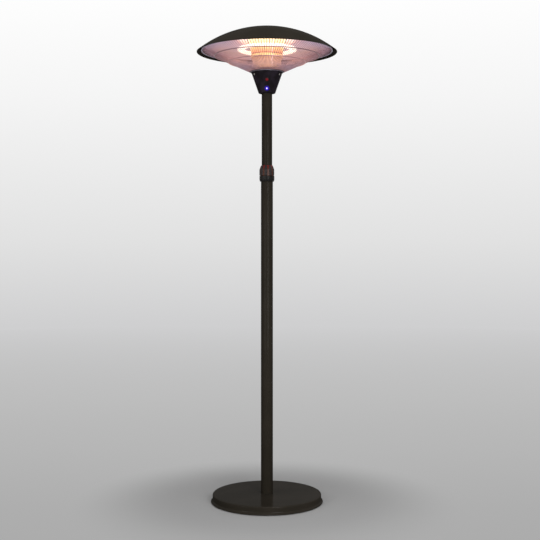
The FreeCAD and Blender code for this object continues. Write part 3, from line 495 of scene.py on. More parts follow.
@dataclass(frozen=True)
class PolishedColumn(Finish):
    """The column's aluminium with upright polishing marks, warm in the lamp's light."""

    slot: str = "polished_aluminium"
    low: float = 1.8395
    high: float = 1.9795
    # Painted lamp light in the base colour: peach and gold by height, dark at the foot, with a
    # painted highlight on the bead and painted shadow lines along its edges.
    tints: Stops = (
        (0.0, srgb(48, 34, 38)),
        (0.03, srgb(60, 44, 46)),
        (0.05, srgb(222, 182, 138)),
        (0.20, srgb(208, 170, 142)),
        (0.37, srgb(212, 164, 132)),
        (0.385, srgb(150, 98, 80)),
        (0.395, srgb(255, 216, 160)),
        (0.475, srgb(255, 216, 160)),
        (0.485, srgb(140, 84, 72)),
        (0.52, srgb(240, 170, 130)),
        (0.75, srgb(255, 226, 170)),
        (1.0, srgb(255, 236, 200)),
    )
    # Painted lamp light as glow by height, none at the foot, with painted shadow dips along the
    # bead's edges.
    glow: Stops = (
        (0.0, (0.0, 0.0, 0.0)),
        (0.04, (0.02, 0.01, 0.01)),
        (0.06, (0.40, 0.22, 0.10)),
        (0.18, (0.24, 0.12, 0.09)),
        (0.375, (0.26, 0.14, 0.08)),
        (0.385, (0.06, 0.02, 0.02)),
        (0.395, (0.52, 0.28, 0.08)),
        (0.475, (0.56, 0.30, 0.08)),
        (0.485, (0.05, 0.02, 0.02)),
        (0.53, (0.40, 0.14, 0.07)),
        (0.66, (0.62, 0.36, 0.10)),
        (0.80, (0.90, 0.72, 0.34)),
        (1.0, (1.0, 0.90, 0.55)),
    )
    # Colour of the painted streaks of reflection that darken and redden the glow round the axis.
    band: Colour = (0.30, 0.11, 0.08)
    # Colour of the painted highlight stripe.
    painted_highlight: Colour = (0.80, 0.66, 0.72)

    def inputs(self, graph: Graph) -> Inputs:
        """Tints and painted light by height, with painted streaks and a painted highlight; marks
        dull the tint.

        Args:
            graph: Where the nodes go.

        Returns:
            The shader's inputs.
        """
        level = (graph.height() - self.low) / (self.high - self.low)
        marks = graph.noise(1.0, 3.0, graph.around(26.0, 0.0))
        # Painted streaks of reflection: soft upright bands of darker, redder glow round the axis.
        bands = graph.noise(1.0, 1.0, graph.around(9.0, 0.0)).fade(0.4, 0.62) * 0.45
        lit = graph.blend(bands, graph.tint(level, self.glow), self.band)
        # A painted highlight: a narrow upright stripe of pale glow on the front, right of the
        # middle.
        side, along, _ = graph.parts(graph.place())
        turn = side / (graph.radius() + MM)
        highlight_mask = turn.fade(0.30, 0.335) * (1 - turn.fade(0.355, 0.39)) * (1 - along.fade(-0.04, 0.0))
        return {
            "Base Color": graph.rubbed(graph.tint(level, self.tints), marks),
            "Metallic": 0.1,
            "Roughness": marks.about(0.5, 0.2),
            "Emission Color": graph.blend(highlight_mask * level.fade(0.05, 0.12) * 0.6, lit, self.painted_highlight),
            "Emission Strength": 1.0,
        }


@dataclass(frozen=True)
class BrightSteel(Finish):
    """Plated steel of the rings, screws and clips."""

    slot: str
    colour: Colour
    dull: Colour
    roughness: float

    def inputs(self, graph: Graph) -> Inputs:
        """Plating with a dull bloom and fine draw marks.

        Args:
            graph: Where the nodes go.

        Returns:
            The shader's inputs.
        """
        bloom = graph.noise(55.0, 3.0)
        return {
            "Base Color": graph.blend(bloom.fade(0.4, 0.75), self.colour, self.dull),
            "Metallic": 1.0,
            "Roughness": bloom.about(self.roughness, 0.2),
            "Normal": graph.grain(1300.0, 1.0, 0.00003, 0.4),
        }


@dataclass(frozen=True)
class GuardWire(Finish):
    """The guard's plated wires, warmest on the side that the lamp shines on."""

    slot: str = "guard_wire"
    reach: float = 0.28
    climb_degrees: float = 24.4
    dull: Colour = srgb(104, 78, 86)
    # Painted light by radius in the base colour: dark at the wires' feet by the hoop, lightest just
    # outside it, darker towards the rim.
    tints: Stops = (
        (0.0, srgb(66, 52, 60)),
        (0.263, srgb(66, 52, 60)),
        (0.272, srgb(150, 124, 136)),
        (0.5, srgb(146, 112, 120)),
        (0.72, srgb(116, 82, 90)),
        (1.0, srgb(118, 92, 102)),
    )
    glow: Stops = (
        (0.0, (0.02, 0.012, 0.015)),
        (0.263, (0.02, 0.012, 0.015)),
        (0.272, (0.70, 0.32, 0.22)),
        (0.38, (0.62, 0.35, 0.34)),
        (0.48, (0.68, 0.34, 0.27)),
        (0.58, (0.60, 0.30, 0.24)),
        (0.72, (0.26, 0.13, 0.12)),
        (1.0, (0.14, 0.09, 0.11)),
    )
    shade: Stops = (
        (0.0, (0.01, 0.008, 0.01)),
        (0.263, (0.01, 0.008, 0.01)),
        (0.272, (0.18, 0.095, 0.09)),
        (0.36, (0.16, 0.105, 0.125)),
        (0.46, (0.19, 0.12, 0.12)),
        (0.60, (0.20, 0.11, 0.10)),
        (0.74, (0.11, 0.07, 0.07)),
        (1.0, (0.05, 0.035, 0.04)),
    )

    def inputs(self, graph: Graph) -> Inputs:
        """Plating with a dull bloom, and painted lamp light by radius in tint and glow, strongest
        inside.

        Args:
            graph: Where the nodes go.

        Returns:
            The shader's inputs.
        """
        bloom = graph.noise(55.0, 3.0)
        away = graph.radius()
        level = away / self.reach
        across, along, _ = graph.parts(graph.place())
        face = graph.parts(graph.value("TexCoord", output="Normal"))
        climb = math.radians(self.climb_degrees)
        outward = (across * face[0] + along * face[1]) / away
        inner_side = face[2] * math.cos(climb) - outward * math.sin(climb)
        tinted = graph.tint(level, self.tints)
        shaded = graph.tint(level, self.shade)
        lit = graph.tint(level, self.glow)
        return {
            "Base Color": graph.blend(bloom.fade(0.4, 0.75), tinted, self.dull),
            "Metallic": 0.8,
            "Roughness": bloom.about(0.42, 0.2),
            "Emission Color": graph.blend(inner_side.fade(-0.3, 0.6), shaded, lit),
            "Emission Strength": 1.0,
            "Normal": graph.grain(1300.0, 1.0, 0.00003, 0.4),
        }


@dataclass(frozen=True)
class CastMetal(Finish):
    """Sand-cast or die-cast metal with a coarse skin."""

    slot: str
    colour: Colour
    pit: Colour
    metallic: float = 0.0
    roughness: float = 0.7
    scale: float = 320.0

    def inputs(self, graph: Graph) -> Inputs:
        """A pitted skin.

        Args:
            graph: Where the nodes go.

        Returns:
            The shader's inputs.
        """
        skin = graph.noise(self.scale, 4.0)
        return {
            "Base Color": graph.blend(skin.fade(0.35, 0.65), self.pit, self.colour),
            "Metallic": self.metallic,
            "Roughness": skin.about(self.roughness, 0.2),
            "Normal": graph.bump(skin, 0.0003, 0.6),
        }


@dataclass(frozen=True)
class CollarCore(Finish):
    """The clamp nut's red plastic, darker downwards into its valleys and redder at its top rim."""

    slot: str = "red_plastic"
    valley: Colour = srgb(58, 30, 19)
    rim: Colour = srgb(84, 11, 9)
    low: float = 1.416
    high: float = 1.434

    def inputs(self, graph: Graph) -> Inputs:
        """Red that darkens downwards.

        Args:
            graph: Where the nodes go.

        Returns:
            The shader's inputs.
        """
        mottle = graph.noise(160.0, 3.0)
        level = graph.height() + mottle.about(0.0, 0.008)
        return {
            "Base Color": graph.blend(level.fade(self.low, self.high), self.valley, self.rim),
            "Roughness": mottle.about(0.34, 0.2),
            "Specular IOR Level": 0.12,
            "Normal": graph.grain(900.0, 1.0, 0.00004, 0.5),
        }


@dataclass(frozen=True)
class ReceiverWindow(Finish):
    """Dark red plastic that lets the receiver's light through."""

    slot: str = "red_window"
    middle: Colour = srgb(104, 16, 24)
    edge: Colour = srgb(22, 8, 10)
    centre: Point = (0.0, -0.0536, 1.7948)
    reach: float = 0.0085

    def inputs(self, graph: Graph) -> Inputs:
        """Red in the middle, nearly black at the edge.

        Args:
            graph: Where the nodes go.

        Returns:
            The shader's inputs.
        """
        haze = graph.noise(500.0, 2.0)
        level = graph.away_from(self.centre) + haze.about(0.0, 0.001)
        share = level.fade(0.3 * self.reach, self.reach)
        return {
            "Base Color": graph.blend(share, self.middle, self.edge),
            "Roughness": haze.about(0.16, 0.08),
            "Specular IOR Level": 0.1,
            "Coat Weight": 0.12,
            "Coat Roughness": 0.05,
        }


@dataclass(frozen=True)
class PowerLight(Finish):
    """The lit lens of the power light: a white core in blue."""

    slot: str = "blue_lens"
    core: Colour = srgb(246, 236, 255)
    edge: Colour = srgb(44, 16, 226)
    centre: Point = (-0.0004, -0.0422, 1.7591)
    reach: float = 0.0048

    def inputs(self, graph: Graph) -> Inputs:
        """A glow that whitens towards the middle.

        Args:
            graph: Where the nodes go.

        Returns:
            The shader's inputs.
        """
        share = graph.away_from(self.centre).fade(0.1 * self.reach, 0.8 * self.reach)
        lit = graph.blend(share, self.core, self.edge)
        return {
            "Base Color": lit,
            "Roughness": graph.noise(700.0, 2.0) * 0.1 + 0.2,
            "Emission Color": lit,
            "Emission Strength": 1.0,
        }


@dataclass(frozen=True)
class QuartzGlass(Finish):
    """The lamp's quartz tube, lit through by the element."""

    slot: str = "quartz"
    glow: Colour = (1.0, 0.93, 0.84)
    cool: Colour = (1.0, 0.82, 0.66)
    strength: float = 1.35

    def inputs(self, graph: Graph) -> Inputs:
        """Glow with the coil's faint bands.

        Args:
            graph: Where the nodes go.

        Returns:
            The shader's inputs.
        """
        bands = graph.noise(1.0, 2.0, graph.around(60.0, 40.0))
        return {
            "Base Color": graph.blend(bands, srgb(255, 236, 214), srgb(255, 220, 190)),
            "Roughness": bands * 0.08 + 0.08,
            "Emission Color": graph.blend(bands.fade(0.3, 0.75), self.glow, self.cool),
            "Emission Strength": self.strength,
        }


@dataclass(frozen=True)
class HotElement(Finish):
    """The glowing coil inside the tube."""

    slot: str = "filament"
    hot: Colour = (1.0, 0.74, 0.44)
    cool: Colour = (1.0, 0.48, 0.18)
    strength: float = 9.0

    def inputs(self, graph: Graph) -> Inputs:
        """Glow that varies along the coil.

        Args:
            graph: Where the nodes go.

        Returns:
            The shader's inputs.
        """
        patch = graph.noise(90.0, 2.0)
        return {
            "Base Color": graph.blend(patch, self.hot, self.cool),
            "Roughness": patch * 0.2 + 0.5,
            "Emission Color": graph.blend(patch.fade(0.35, 0.7), self.hot, self.cool),
            "Emission Strength": self.strength,
        }


PAINT = StovedPaint()
BASE_PAINT = StovedPaint(coat=0.06)
SHELL = HousingShell()
BLACK = MouldedPlastic("black_plastic", srgb(20, 19, 18), srgb(34, 33, 32), 0.36)
GRIP = MouldedPlastic("black_rubber", srgb(38, 35, 35), srgb(52, 48, 48), 0.5, 900.0)
PAD = MouldedPlastic("black_rubber", srgb(26, 25, 24), srgb(44, 43, 41), 0.75, 600.0)
NYLON = MouldedPlastic("white_nylon", srgb(214, 212, 204), srgb(190, 186, 176), 0.45, 700.0)
BOARD = MouldedPlastic("board_green", srgb(24, 74, 44), srgb(40, 96, 58), 0.3, 2200.0, 0.4)
DARK_PART = MouldedPlastic("dark_component", srgb(24, 24, 26), srgb(40, 40, 42), 0.4)
IVORY_PART = MouldedPlastic("ivory_component", srgb(216, 206, 180), srgb(198, 186, 158), 0.4)
CERAMIC = CastMetal("white_ceramic", srgb(226, 220, 208), srgb(196, 186, 170), 0.0, 0.5, 700.0)
WEIGHT = CastMetal("cast_weight", srgb(70, 68, 66), srgb(44, 42, 40), 0.0, 0.8)
ALLOY = CastMetal("cast_alloy", srgb(150, 150, 152), srgb(112, 112, 114), 1.0, 0.5, 500.0)
ZINC = BrightSteel("zinc_steel", srgb(196, 194, 188), srgb(150, 146, 138), 0.3)
WIRE = GuardWire()
RING = BrightSteel("guard_wire", srgb(176, 166, 184), srgb(150, 142, 160), 0.45)
HOOP = BrightSteel("guard_wire", srgb(124, 116, 126), srgb(104, 98, 108), 0.5)
SHIELD = BrightSteel("heat_shield", srgb(176, 172, 168), srgb(140, 134, 130), 0.36)
CORE = CollarCore()
WINDOW = ReceiverWindow()
LED = PowerLight()
QUARTZ = QuartzGlass()
ELEMENT = HotElement()
DISH = SpunReflector()
COLUMN = PolishedColumn()

KEPT_NODES: dict[str, Finish] = {
    "ballast_disc": WEIGHT,
    "base_bolt": ZINC,
    "foot_plug": ALLOY,
    "clamp_collet": BLACK,
    "guide_bush": NYLON,
    "pole_end_plug": BLACK,
    "bush_retainer": ZINC,
    "neck_socket": ALLOY,
    "housing_top_plate": SHIELD,
    "control_board": BOARD,
    "power_relay": DARK_PART,
    "ir_receiver": DARK_PART,
    "terminal_block": IVORY_PART,
    "tilt_switch": DARK_PART,
    "column_stays": ZINC,
    "canopy_bracket": ZINC,
    "grille_clips": WIRE,
    "lamp_arm": ZINC,
}


# Mesh making


def shares(steps: int, first: int = 0) -> list[float]:
    """Even shares of a way, from a first step up to 1."""
    return [step / steps for step in range(first, steps + 1)]


def between(low: float, high: float, share: float) -> float:
    """The level at a share of the way from one level to another."""
    return low + (high - low) * share


def polar(radius: float, angle: float, height: float = 0.0) -> Vector:
    """A point at a radius, an angle and a height."""
    return Vector((radius * math.cos(angle), radius * math.sin(angle), height))


def spaced(count: int, start: float = FRONT) -> list[float]:
    """Even angles round the axis."""
    return [start + FULL_TURN * index / count for index in range(count)]


def oblong(low: tuple[float, float], high: tuple[float, float]) -> Outline:
    """A rectangle's corners from two that lie opposite."""
    return [low, (high[0], low[1]), high, (low[0], high[1])]


def arc(
    centre: tuple[float, float], radius: float, start: float, end: float, steps: int
) -> Outline:
    """Points along an arc between two angles in degrees, both ends included."""
    spokes = [polar(radius, math.radians(between(start, end, share))) for share in shares(steps)]
    return [(centre[0] + spoke.x, centre[1] + spoke.y) for spoke in spokes]


def domed(radius: float, edge: float, rise: float, steps: int) -> Outline:
    """Points of a dome from its edge, which is left out, to the axis.

    Args:
        radius: The dome's radius.
        edge: The level of its edge.
        rise: Its height.
        steps: The number of runs.

    Returns:
        The points.
    """
    angles = [QUARTER_TURN * share for share in shares(steps, 1)[:-1]]
    points = [(radius * math.cos(angle), edge + rise * math.sin(angle)) for angle in angles]
    return points + [(0.0, edge + rise)]


def rounded(outline: Outline, radius: float, steps: int = 3, closed: bool = True) -> Outline:
    """Rounds the corners of an outline.

    Args:
        outline: The corners.
        radius: The wanted radius, made smaller where a side is short.
        steps: The runs in each corner.
        closed: Whether the last corner joins the first.

    Returns:
        The rounded outline.
    """
    count = len(outline)
    result: Outline = []
    for index, corner in enumerate(outline):
        if not closed and index in (0, count - 1):
            result.append(corner)
            continue
        here = Vector(corner)
        before = Vector(outline[index - 1]) - here
        after = Vector(outline[(index + 1) % count]) - here
        reach = min(radius, SIDE_SHARE * before.length, SIDE_SHARE * after.length)
        start = here + before.normalized() * reach
        end = here + after.normalized() * reach
        for share in shares(steps):
            rest = 1 - share
            point = start * rest**2 + here * 2 * share * rest + end * share**2
            result.append((point.x, point.y))
    return result


def combine(target: bpy.types.Object, other: bpy.types.Object, operation: str) -> None:
    """Joins a form to a piece or cuts it out, and removes the form.

    Args:
        target: The piece.
        other: The form.
        operation: UNION or DIFFERENCE.
    """
    change = target.modifiers.new("combine", "BOOLEAN")
    change.operation = operation
    change.solver = "EXACT"
    change.object = other
    bpy.context.view_layer.update()
    graph = bpy.context.evaluated_depsgraph_get()
    result = bpy.data.meshes.new_from_object(target.evaluated_get(graph))
    target.modifiers.clear()
    spare = target.data
    target.data = result
    bpy.data.meshes.remove(spare)
    bpy.data.objects.remove(other)


class Shop:
    """Makes meshes in one bmesh and turns it into a dressed piece."""

    def __init__(self) -> None:
        """Starts with an empty mesh."""
        self.mesh = bmesh.new()

    def span(
        self, low: Sequence[bmesh.types.BMVert], high: Sequence[bmesh.types.BMVert], wrap: bool
    ) -> None:
        """Fills the strip between two rows of vertices.

        Args:
            low: The first row.
            high: The second row.
            wrap: Whether the rows close on themselves.
        """
        count = len(low)
        for index in range(count if wrap else count - 1):
            after = (index + 1) % count
            corners = dict.fromkeys((low[index], low[after], high[after], high[index]))
            if len(corners) > 2:
                self.mesh.faces.new(list(corners))

    def lathe(
        self,
        outline: Outline,
        sides: int,
        closed: bool = True,
        place: Matrix | None = None,
        limits: tuple[float, float] | None = None,
    ) -> None:
        """Turns an outline of (radius, height) points about the Z axis.

        Args:
            outline: The section, with points on the axis where it closes there.
            sides: The runs round the axis.
            closed: Whether the outline's last point joins its first.
            place: Where the turned form goes.
            limits: Start and end angles of a part turn, with capped ends.
        """
        start, end = limits or (0.0, FULL_TURN)
        turns = shares(sides) if limits else shares(sides)[:-1]
        rings = []
        for radius, height in outline:
            if radius < ON_AXIS:
                rings.append([self.mesh.verts.new((0.0, 0.0, height))] * len(turns))
                continue
            points = [polar(radius, between(start, end, turn), height) for turn in turns]
            rings.append([self.mesh.verts.new(point) for point in points])
        for low, high in zip(rings, rings[1:] + rings[:1] if closed else rings[1:]):
            self.span(low, high, limits is None)
        if limits and closed:
            self.mesh.faces.new([ring[0] for ring in rings])
            self.mesh.faces.new([ring[-1] for ring in reversed(rings)])
        if place is not None:
            made = list(dict.fromkeys(vert for ring in rings for vert in ring))
            bmesh.ops.transform(self.mesh, matrix=place, verts=made)

    def rope(self, points: Sequence[Vector], radius: float, sides: int, tip: bool = True) -> None:
        """Sweeps a round section along a line of points.

        Args:
            points: The centre line.
            radius: The section's radius.
            sides: The section's sides.
            tip: Whether the ends are rounded off.
        """
        line = list(points)
        radii = [radius] * len(line)
        if tip:
            lead = (line[0] - line[1]).normalized() * radius * TIP_REACH_SHARE
            trail = (line[-1] - line[-2]).normalized() * radius * TIP_REACH_SHARE
            line = [line[0] + lead, *line, line[-1] + trail]
            radii = [radius * TIP_RADIUS_SHARE, *radii, radius * TIP_RADIUS_SHARE]
        tangent = (line[1] - line[0]).normalized()
        side = tangent.orthogonal().normalized()
        rings = []
        for index, point in enumerate(line):
            ahead = line[min(index + 1, len(line) - 1)] - line[max(index - 1, 0)]
            side = tangent.rotation_difference(ahead.normalized()) @ side
            tangent = ahead.normalized()
            other = tangent.cross(side)
            ring = []
            for angle in spaced(sides, 0.0):
                spoke = side * math.cos(angle) + other * math.sin(angle)
                ring.append(self.mesh.verts.new(point + spoke * radii[index]))
            rings.append(ring)
        for low, high in zip(rings, rings[1:]):
            self.span(low, high, True)
        self.mesh.faces.new(list(reversed(rings[0])))
        self.mesh.faces.new(rings[-1])

    def block(
        self,
        low: Sequence[float],
        high: Sequence[float],
        round_by: float = 0.0,
        place: Matrix | None = None,
    ) -> None:
        """Adds a box, with rounded edges if wanted.

        Args:
            low: The lowest corner.
            high: The highest corner.
            round_by: The edges' radius.
            place: Where the box goes.
        """
        size = Vector(high) - Vector(low)
        middle = (Vector(high) + Vector(low)) / 2
        matrix = Matrix.Translation(middle) @ Matrix.Diagonal((*size, 1.0))
        made = bmesh.ops.create_cube(self.mesh, size=1.0, matrix=matrix)["verts"]
        if place is not None:
            bmesh.ops.transform(self.mesh, matrix=place, verts=made)
        self._soften(made, round_by)

    def prism(self, corners: Sequence[Vector], along: Vector, round_by: float) -> None:
        """Extrudes a flat outline and rounds its edges.

        Args:
            corners: The outline's corners in order.
            along: The extrusion.
            round_by: The edges' radius.
        """
        near = [self.mesh.verts.new(corner) for corner in corners]
        far = [self.mesh.verts.new(corner + along) for corner in corners]
        self.mesh.faces.new(list(reversed(near)))
        self.mesh.faces.new(far)
        self.span(near, far, True)
        self._soften(near + far, round_by)

    def _soften(self, verts: Sequence[bmesh.types.BMVert], round_by: float) -> None:
        """Rounds every edge between the given vertices.

        Args:
            verts: The vertices of the form.
            round_by: The edges' radius.
        """
        if round_by <= 0:
            return
        chosen = set(verts)
        edges = [edge for edge in self.mesh.edges if chosen.issuperset(edge.verts)]
        shape = {"segments": BEVEL_RUNS, "profile": 0.5, "clamp_overlap": True}
        bmesh.ops.bevel(self.mesh, geom=edges, offset=round_by, affect="EDGES", **shape)

    def mesh_object(self, name: str) -> bpy.types.Object:
        """Turns the mesh into an object in the scene.

        Args:
            name: The object's name.

        Returns:
            The object.
        """
        bmesh.ops.recalc_face_normals(self.mesh, faces=self.mesh.faces[:])
        data = bpy.data.meshes.new(name)
        self.mesh.to_mesh(data)
        self.mesh.free()
        made = bpy.data.objects.new(name, data)
        bpy.context.scene.collection.objects.link(made)
        return made

    def piece(
        self,
        name: str,
        body: Body,
        finish: Finish,
        stands_for: Sequence[str],
        cutters: Sequence[bpy.types.Object] = (),
        joined: Sequence[bpy.types.Object] = (),
        crease: float = CREASE_DEGREES,
    ) -> None:
        """Turns the mesh into a dressed piece of the heater.

        Args:
            name: The piece's name.
            body: The body that it moves with.
            finish: Its finish.
            stands_for: The model's nodes that it replaces.
            cutters: Forms that are cut out of it and then removed.
            joined: Forms that become part of it before the cuts.
            crease: The angle in degrees above which an edge is sharp.
        """
        made = self.mesh_object(name)
        for form in joined:
            combine(made, form, "UNION")
        for form in cutters:
            combine(made, form, "DIFFERENCE")
        made.data.polygons.foreach_set("use_smooth", [True] * len(made.data.polygons))
        made.data.set_sharp_from_angle(angle=math.radians(crease))
        made.data.materials.clear()
        made.data.materials.append(finish.material())
        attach(made, body.value)
        if stands_for:
            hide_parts(*stands_for)
        LOG.info("%s rides on %s", name, body.value)

    @classmethod
    def turned(
        cls,
        name: str,
        body: Body,
        finish: Finish,
        stands_for: Sequence[str],
        outline: Outline,
        sides: int,
        crease: float = CREASE_DEGREES,
        **shape: Any,
    ) -> None:
        """Makes a piece of one turned outline.

        Args:
            name: The piece's name.
            body: The body that it moves with.
            finish: Its finish.
            stands_for: The model's nodes that it replaces.
            outline: The section.
            sides: The runs round the axis.
            crease: The angle in degrees above which an edge is sharp.
            shape: What else the lathe takes.
        """
        shop = cls()
        shop.lathe(outline, sides, **shape)
        shop.piece(name, body, finish, stands_for, crease=crease)


# Sub-assemblies


@dataclass
class Base:
    """The round weighted base."""

    rim: float = 0.239
    side: float = 0.2315
    top: float = 0.035
    top_rings: tuple[float, ...] = (0.0, 0.06, 0.14, 0.20)
    shoulder: float = 0.0045
    flare: float = 0.016
    lip: float = 0.003
    lip_bead: float = 0.0004
    sheet: float = 0.0015
    foot_circle: float = 0.1865
    foot: float = 0.017
    foot_height: float = 0.004
    foot_edge: float = 0.0012
    foot_count: int = 5

    def build(self) -> None:
        """Makes the cover and the feet."""
        self._cover()
        self._feet()

    def _cover(self) -> None:
        """The spun cover: a flat top, a rounded shoulder and a flared rim."""
        reach = self.rim - self.side
        drop = self.flare - self.lip
        radius = (reach * reach + drop * drop) / (2 * reach)
        end = 180.0 + math.degrees(math.asin(drop / radius))
        inner = self.side - self.sheet
        shoulder = (self.side - self.shoulder, self.top - self.shoulder)
        outline = [(ring, self.top) for ring in self.top_rings]
        outline += arc(shoulder, self.shoulder, 90.0, 0.0, 8)
        outline += arc((self.side + radius, self.flare), radius, 180.0, end, 8)
        outline += [
            (self.rim - self.sheet * 0.5, self.lip - self.lip_bead),
            (self.rim - self.sheet, self.lip),
            (inner, self.flare),
            (inner, shoulder[1]),
            (shoulder[0], self.top - self.sheet),
            (0.0, self.top - self.sheet),
        ]
        node = ["base_cover"]
        Shop.turned("base_cover_spun", Body.STAND, BASE_PAINT, node, outline, 192, closed=False)

    def _feet(self) -> None:
        """The round pads, each with a soft edge."""
        shop = Shop()
        section = oblong((0.0, 0.0), (self.foot, self.foot_height))
        outline = rounded(section, self.foot_edge, 4, False)
        for angle in spaced(self.foot_count):
            shop.lathe(outline, 48, False, Matrix.Translation(polar(self.foot_circle, angle)))
        shop.piece("rubber_pads", Body.STAND, PAD, ["rubber_feet"])


@dataclass
class Pole:
    """The two tubes of the telescopic pole."""

    lower: float = 0.0255
    upper: float = 0.0225
    wall: float = 0.0015
    end_edge: float = 0.0005
    lower_span: tuple[float, float] = (0.035, 1.396)
    upper_span: tuple[float, float] = (1.206, 1.7755)

    def build(self) -> None:
        """Makes both tubes."""
        self._tube("lower_tube", Body.STAND, self.lower, self.lower_span, "lower_pole")
        self._tube("upper_tube", Body.HEAD, self.upper, self.upper_span, "upper_pole")

    def _tube(
        self, name: str, body: Body, radius: float, span: tuple[float, float], node: str
    ) -> None:
        """One drawn tube with dressed ends."""
        section = oblong((radius - self.wall, span[0]), (radius, span[1]))
        Shop.turned(name, body, PAINT, [node], rounded(section, self.end_edge, 2), 96)


@dataclass
class TwistCollar:
    """The clamp collar round the pole's joint."""

    outer: float = 0.032
    base_bore: float = 0.0256
    base_foot: float = 0.0272
    base_bottom: float = 1.366
    base_shoulder: float = 1.379
    base_top: float = 1.390
    base_edge: float = 0.0006
    nut_bottom: float = 1.3903
    nut_top: float = 1.4353
    nut_shoulder: float = 1.4173
    nut_core: float = 0.02955
    nut_crown: float = 0.0245
    nut_mouth: float = 0.0229
    nut_foot_bore: float = 0.0257
    nut_bore: float = 0.0261
    nut_roof: float = 0.009
    nut_floor: float = 0.006
    nut_edge: float = 0.0012
    rib_count: int = 9
    rib_degrees: float = 23.0
    rib_turn: float = -9.0
    rib_foot: float = 0.001
    rib_head: float = 0.0009
    rib_gap: float = 0.0001
    rib_fall_share: float = 0.62
    rib_level_share: float = 0.45
    rib_fall_power: float = 1.6
    rib_start_share: float = 0.02
    rib_end_share: float = 0.07
    rib_round_power: int = 5
    rib_rows: int = 26
    rib_columns: int = 14

    def build(self) -> None:
        """Makes the fixed band, the nut and its ribs."""
        self._band()
        self._nut()
        self._ribs()

    def _band(self) -> None:
        """The plain tapered band on the lower tube."""
        outline = [(self.base_bore, self.base_bottom)]
        for share in shares(10):
            turn = QUARTER_TURN * share
            swell = between(self.base_foot, self.outer, math.sin(turn))
            level = between(self.base_shoulder, self.base_bottom, math.cos(turn))
            outline.append((swell, level))
        outline += [
            (self.outer, self.base_top - self.base_edge),
            (self.outer - self.base_edge, self.base_top),
            (self.base_bore, self.base_top),
        ]
        Shop.turned("collar_band", Body.STAND, BLACK, ["collar_base"], outline, 96)

    def _nut(self) -> None:
        """The nut's red core with its rounded crown."""
        roof = self.nut_top - self.nut_roof
        corners = [
            (self.nut_foot_bore, self.nut_bottom),
            (self.nut_core, self.nut_bottom),
            (self.nut_core, self.nut_shoulder),
            (self.nut_crown, self.nut_top),
            (self.nut_mouth, self.nut_top),
            (self.nut_mouth, roof),
            (self.nut_bore, roof),
            (self.nut_bore, self.nut_bottom + self.nut_floor),
        ]
        outline = rounded(corners, self.nut_edge)
        Shop.turned("collar_core", Body.COLLAR, CORE, ["collar_nut"], outline, 108)

    def _section(self, share: float) -> tuple[float, float, float]:
        """The nut's face and a rib's height over it, from the rib's foot to its top.

        Args:
            share: The place along the rib, from 0 to 1.

        Returns:
            The face's radius, the height above the floor and the rib's rise.
        """
        height = between(self.nut_bottom + self.rib_foot, self.nut_top - self.rib_head, share)
        lean = (self.nut_core - self.nut_crown) / (self.nut_top - self.nut_shoulder)
        face = self.nut_core - max(0.0, height - self.nut_shoulder) * lean
        beyond = max(0.0, (share - self.rib_level_share) / (1 - self.rib_level_share))
        taper = 1.0 - self.rib_fall_share * beyond**self.rib_fall_power
        start = min(1.0, share / self.rib_start_share)
        end = min(1.0, (1 - share) / self.rib_end_share)
        rise = (self.outer - self.nut_core) * taper
        return face, height, rise * (start**0.5 * end**0.5)

    def _ribs(self) -> None:
        """The soft ribs, crowned across and run out at their ends."""
        shop = Shop()
        half = math.radians(self.rib_degrees) / 2
        for middle in spaced(self.rib_count, FRONT + math.radians(self.rib_turn)):
            grid = []
            for row in shares(self.rib_rows):
                face, height, rise = self._section(row)
                line = []
                for column in shares(self.rib_columns):
                    side = 2 * column - 1
                    radius = face + self.rib_gap + rise * (1 - abs(side) ** self.rib_round_power)
                    line.append(shop.mesh.verts.new(polar(radius, middle + half * side, height)))
                grid.append(line)
            for low, high in zip(grid, grid[1:]):
                shop.span(low, high, False)
            left, right = zip(*((line[0], line[-1]) for line in grid))
            edge = [*left, *grid[-1][1:], *right[-2::-1], *grid[0][-2:0:-1]]
            shop.mesh.faces.new(list(reversed(edge)))
        shop.piece("collar_ribs", Body.COLLAR, GRIP, ["collar_grip"], crease=50.0)


@dataclass(frozen=True)
class SwitchBox:
    """A box about the mains switch's middle, measured from the switch's face."""

    half_width: float
    half_height: float
    back: float
    front: float
    edge: float = 0.0

    def add(self, shop: Shop, face: float, middle: float) -> None:
        """Adds the box to a mesh.

        Args:
            shop: Where it is added.
            face: The face's distance behind the axis.
            middle: The height of the switch's middle.
        """
        low = (-self.half_width, face - self.back, middle - self.half_height)
        high = (self.half_width, face + self.front, middle + self.half_height)
        shop.block(low, high, self.edge)


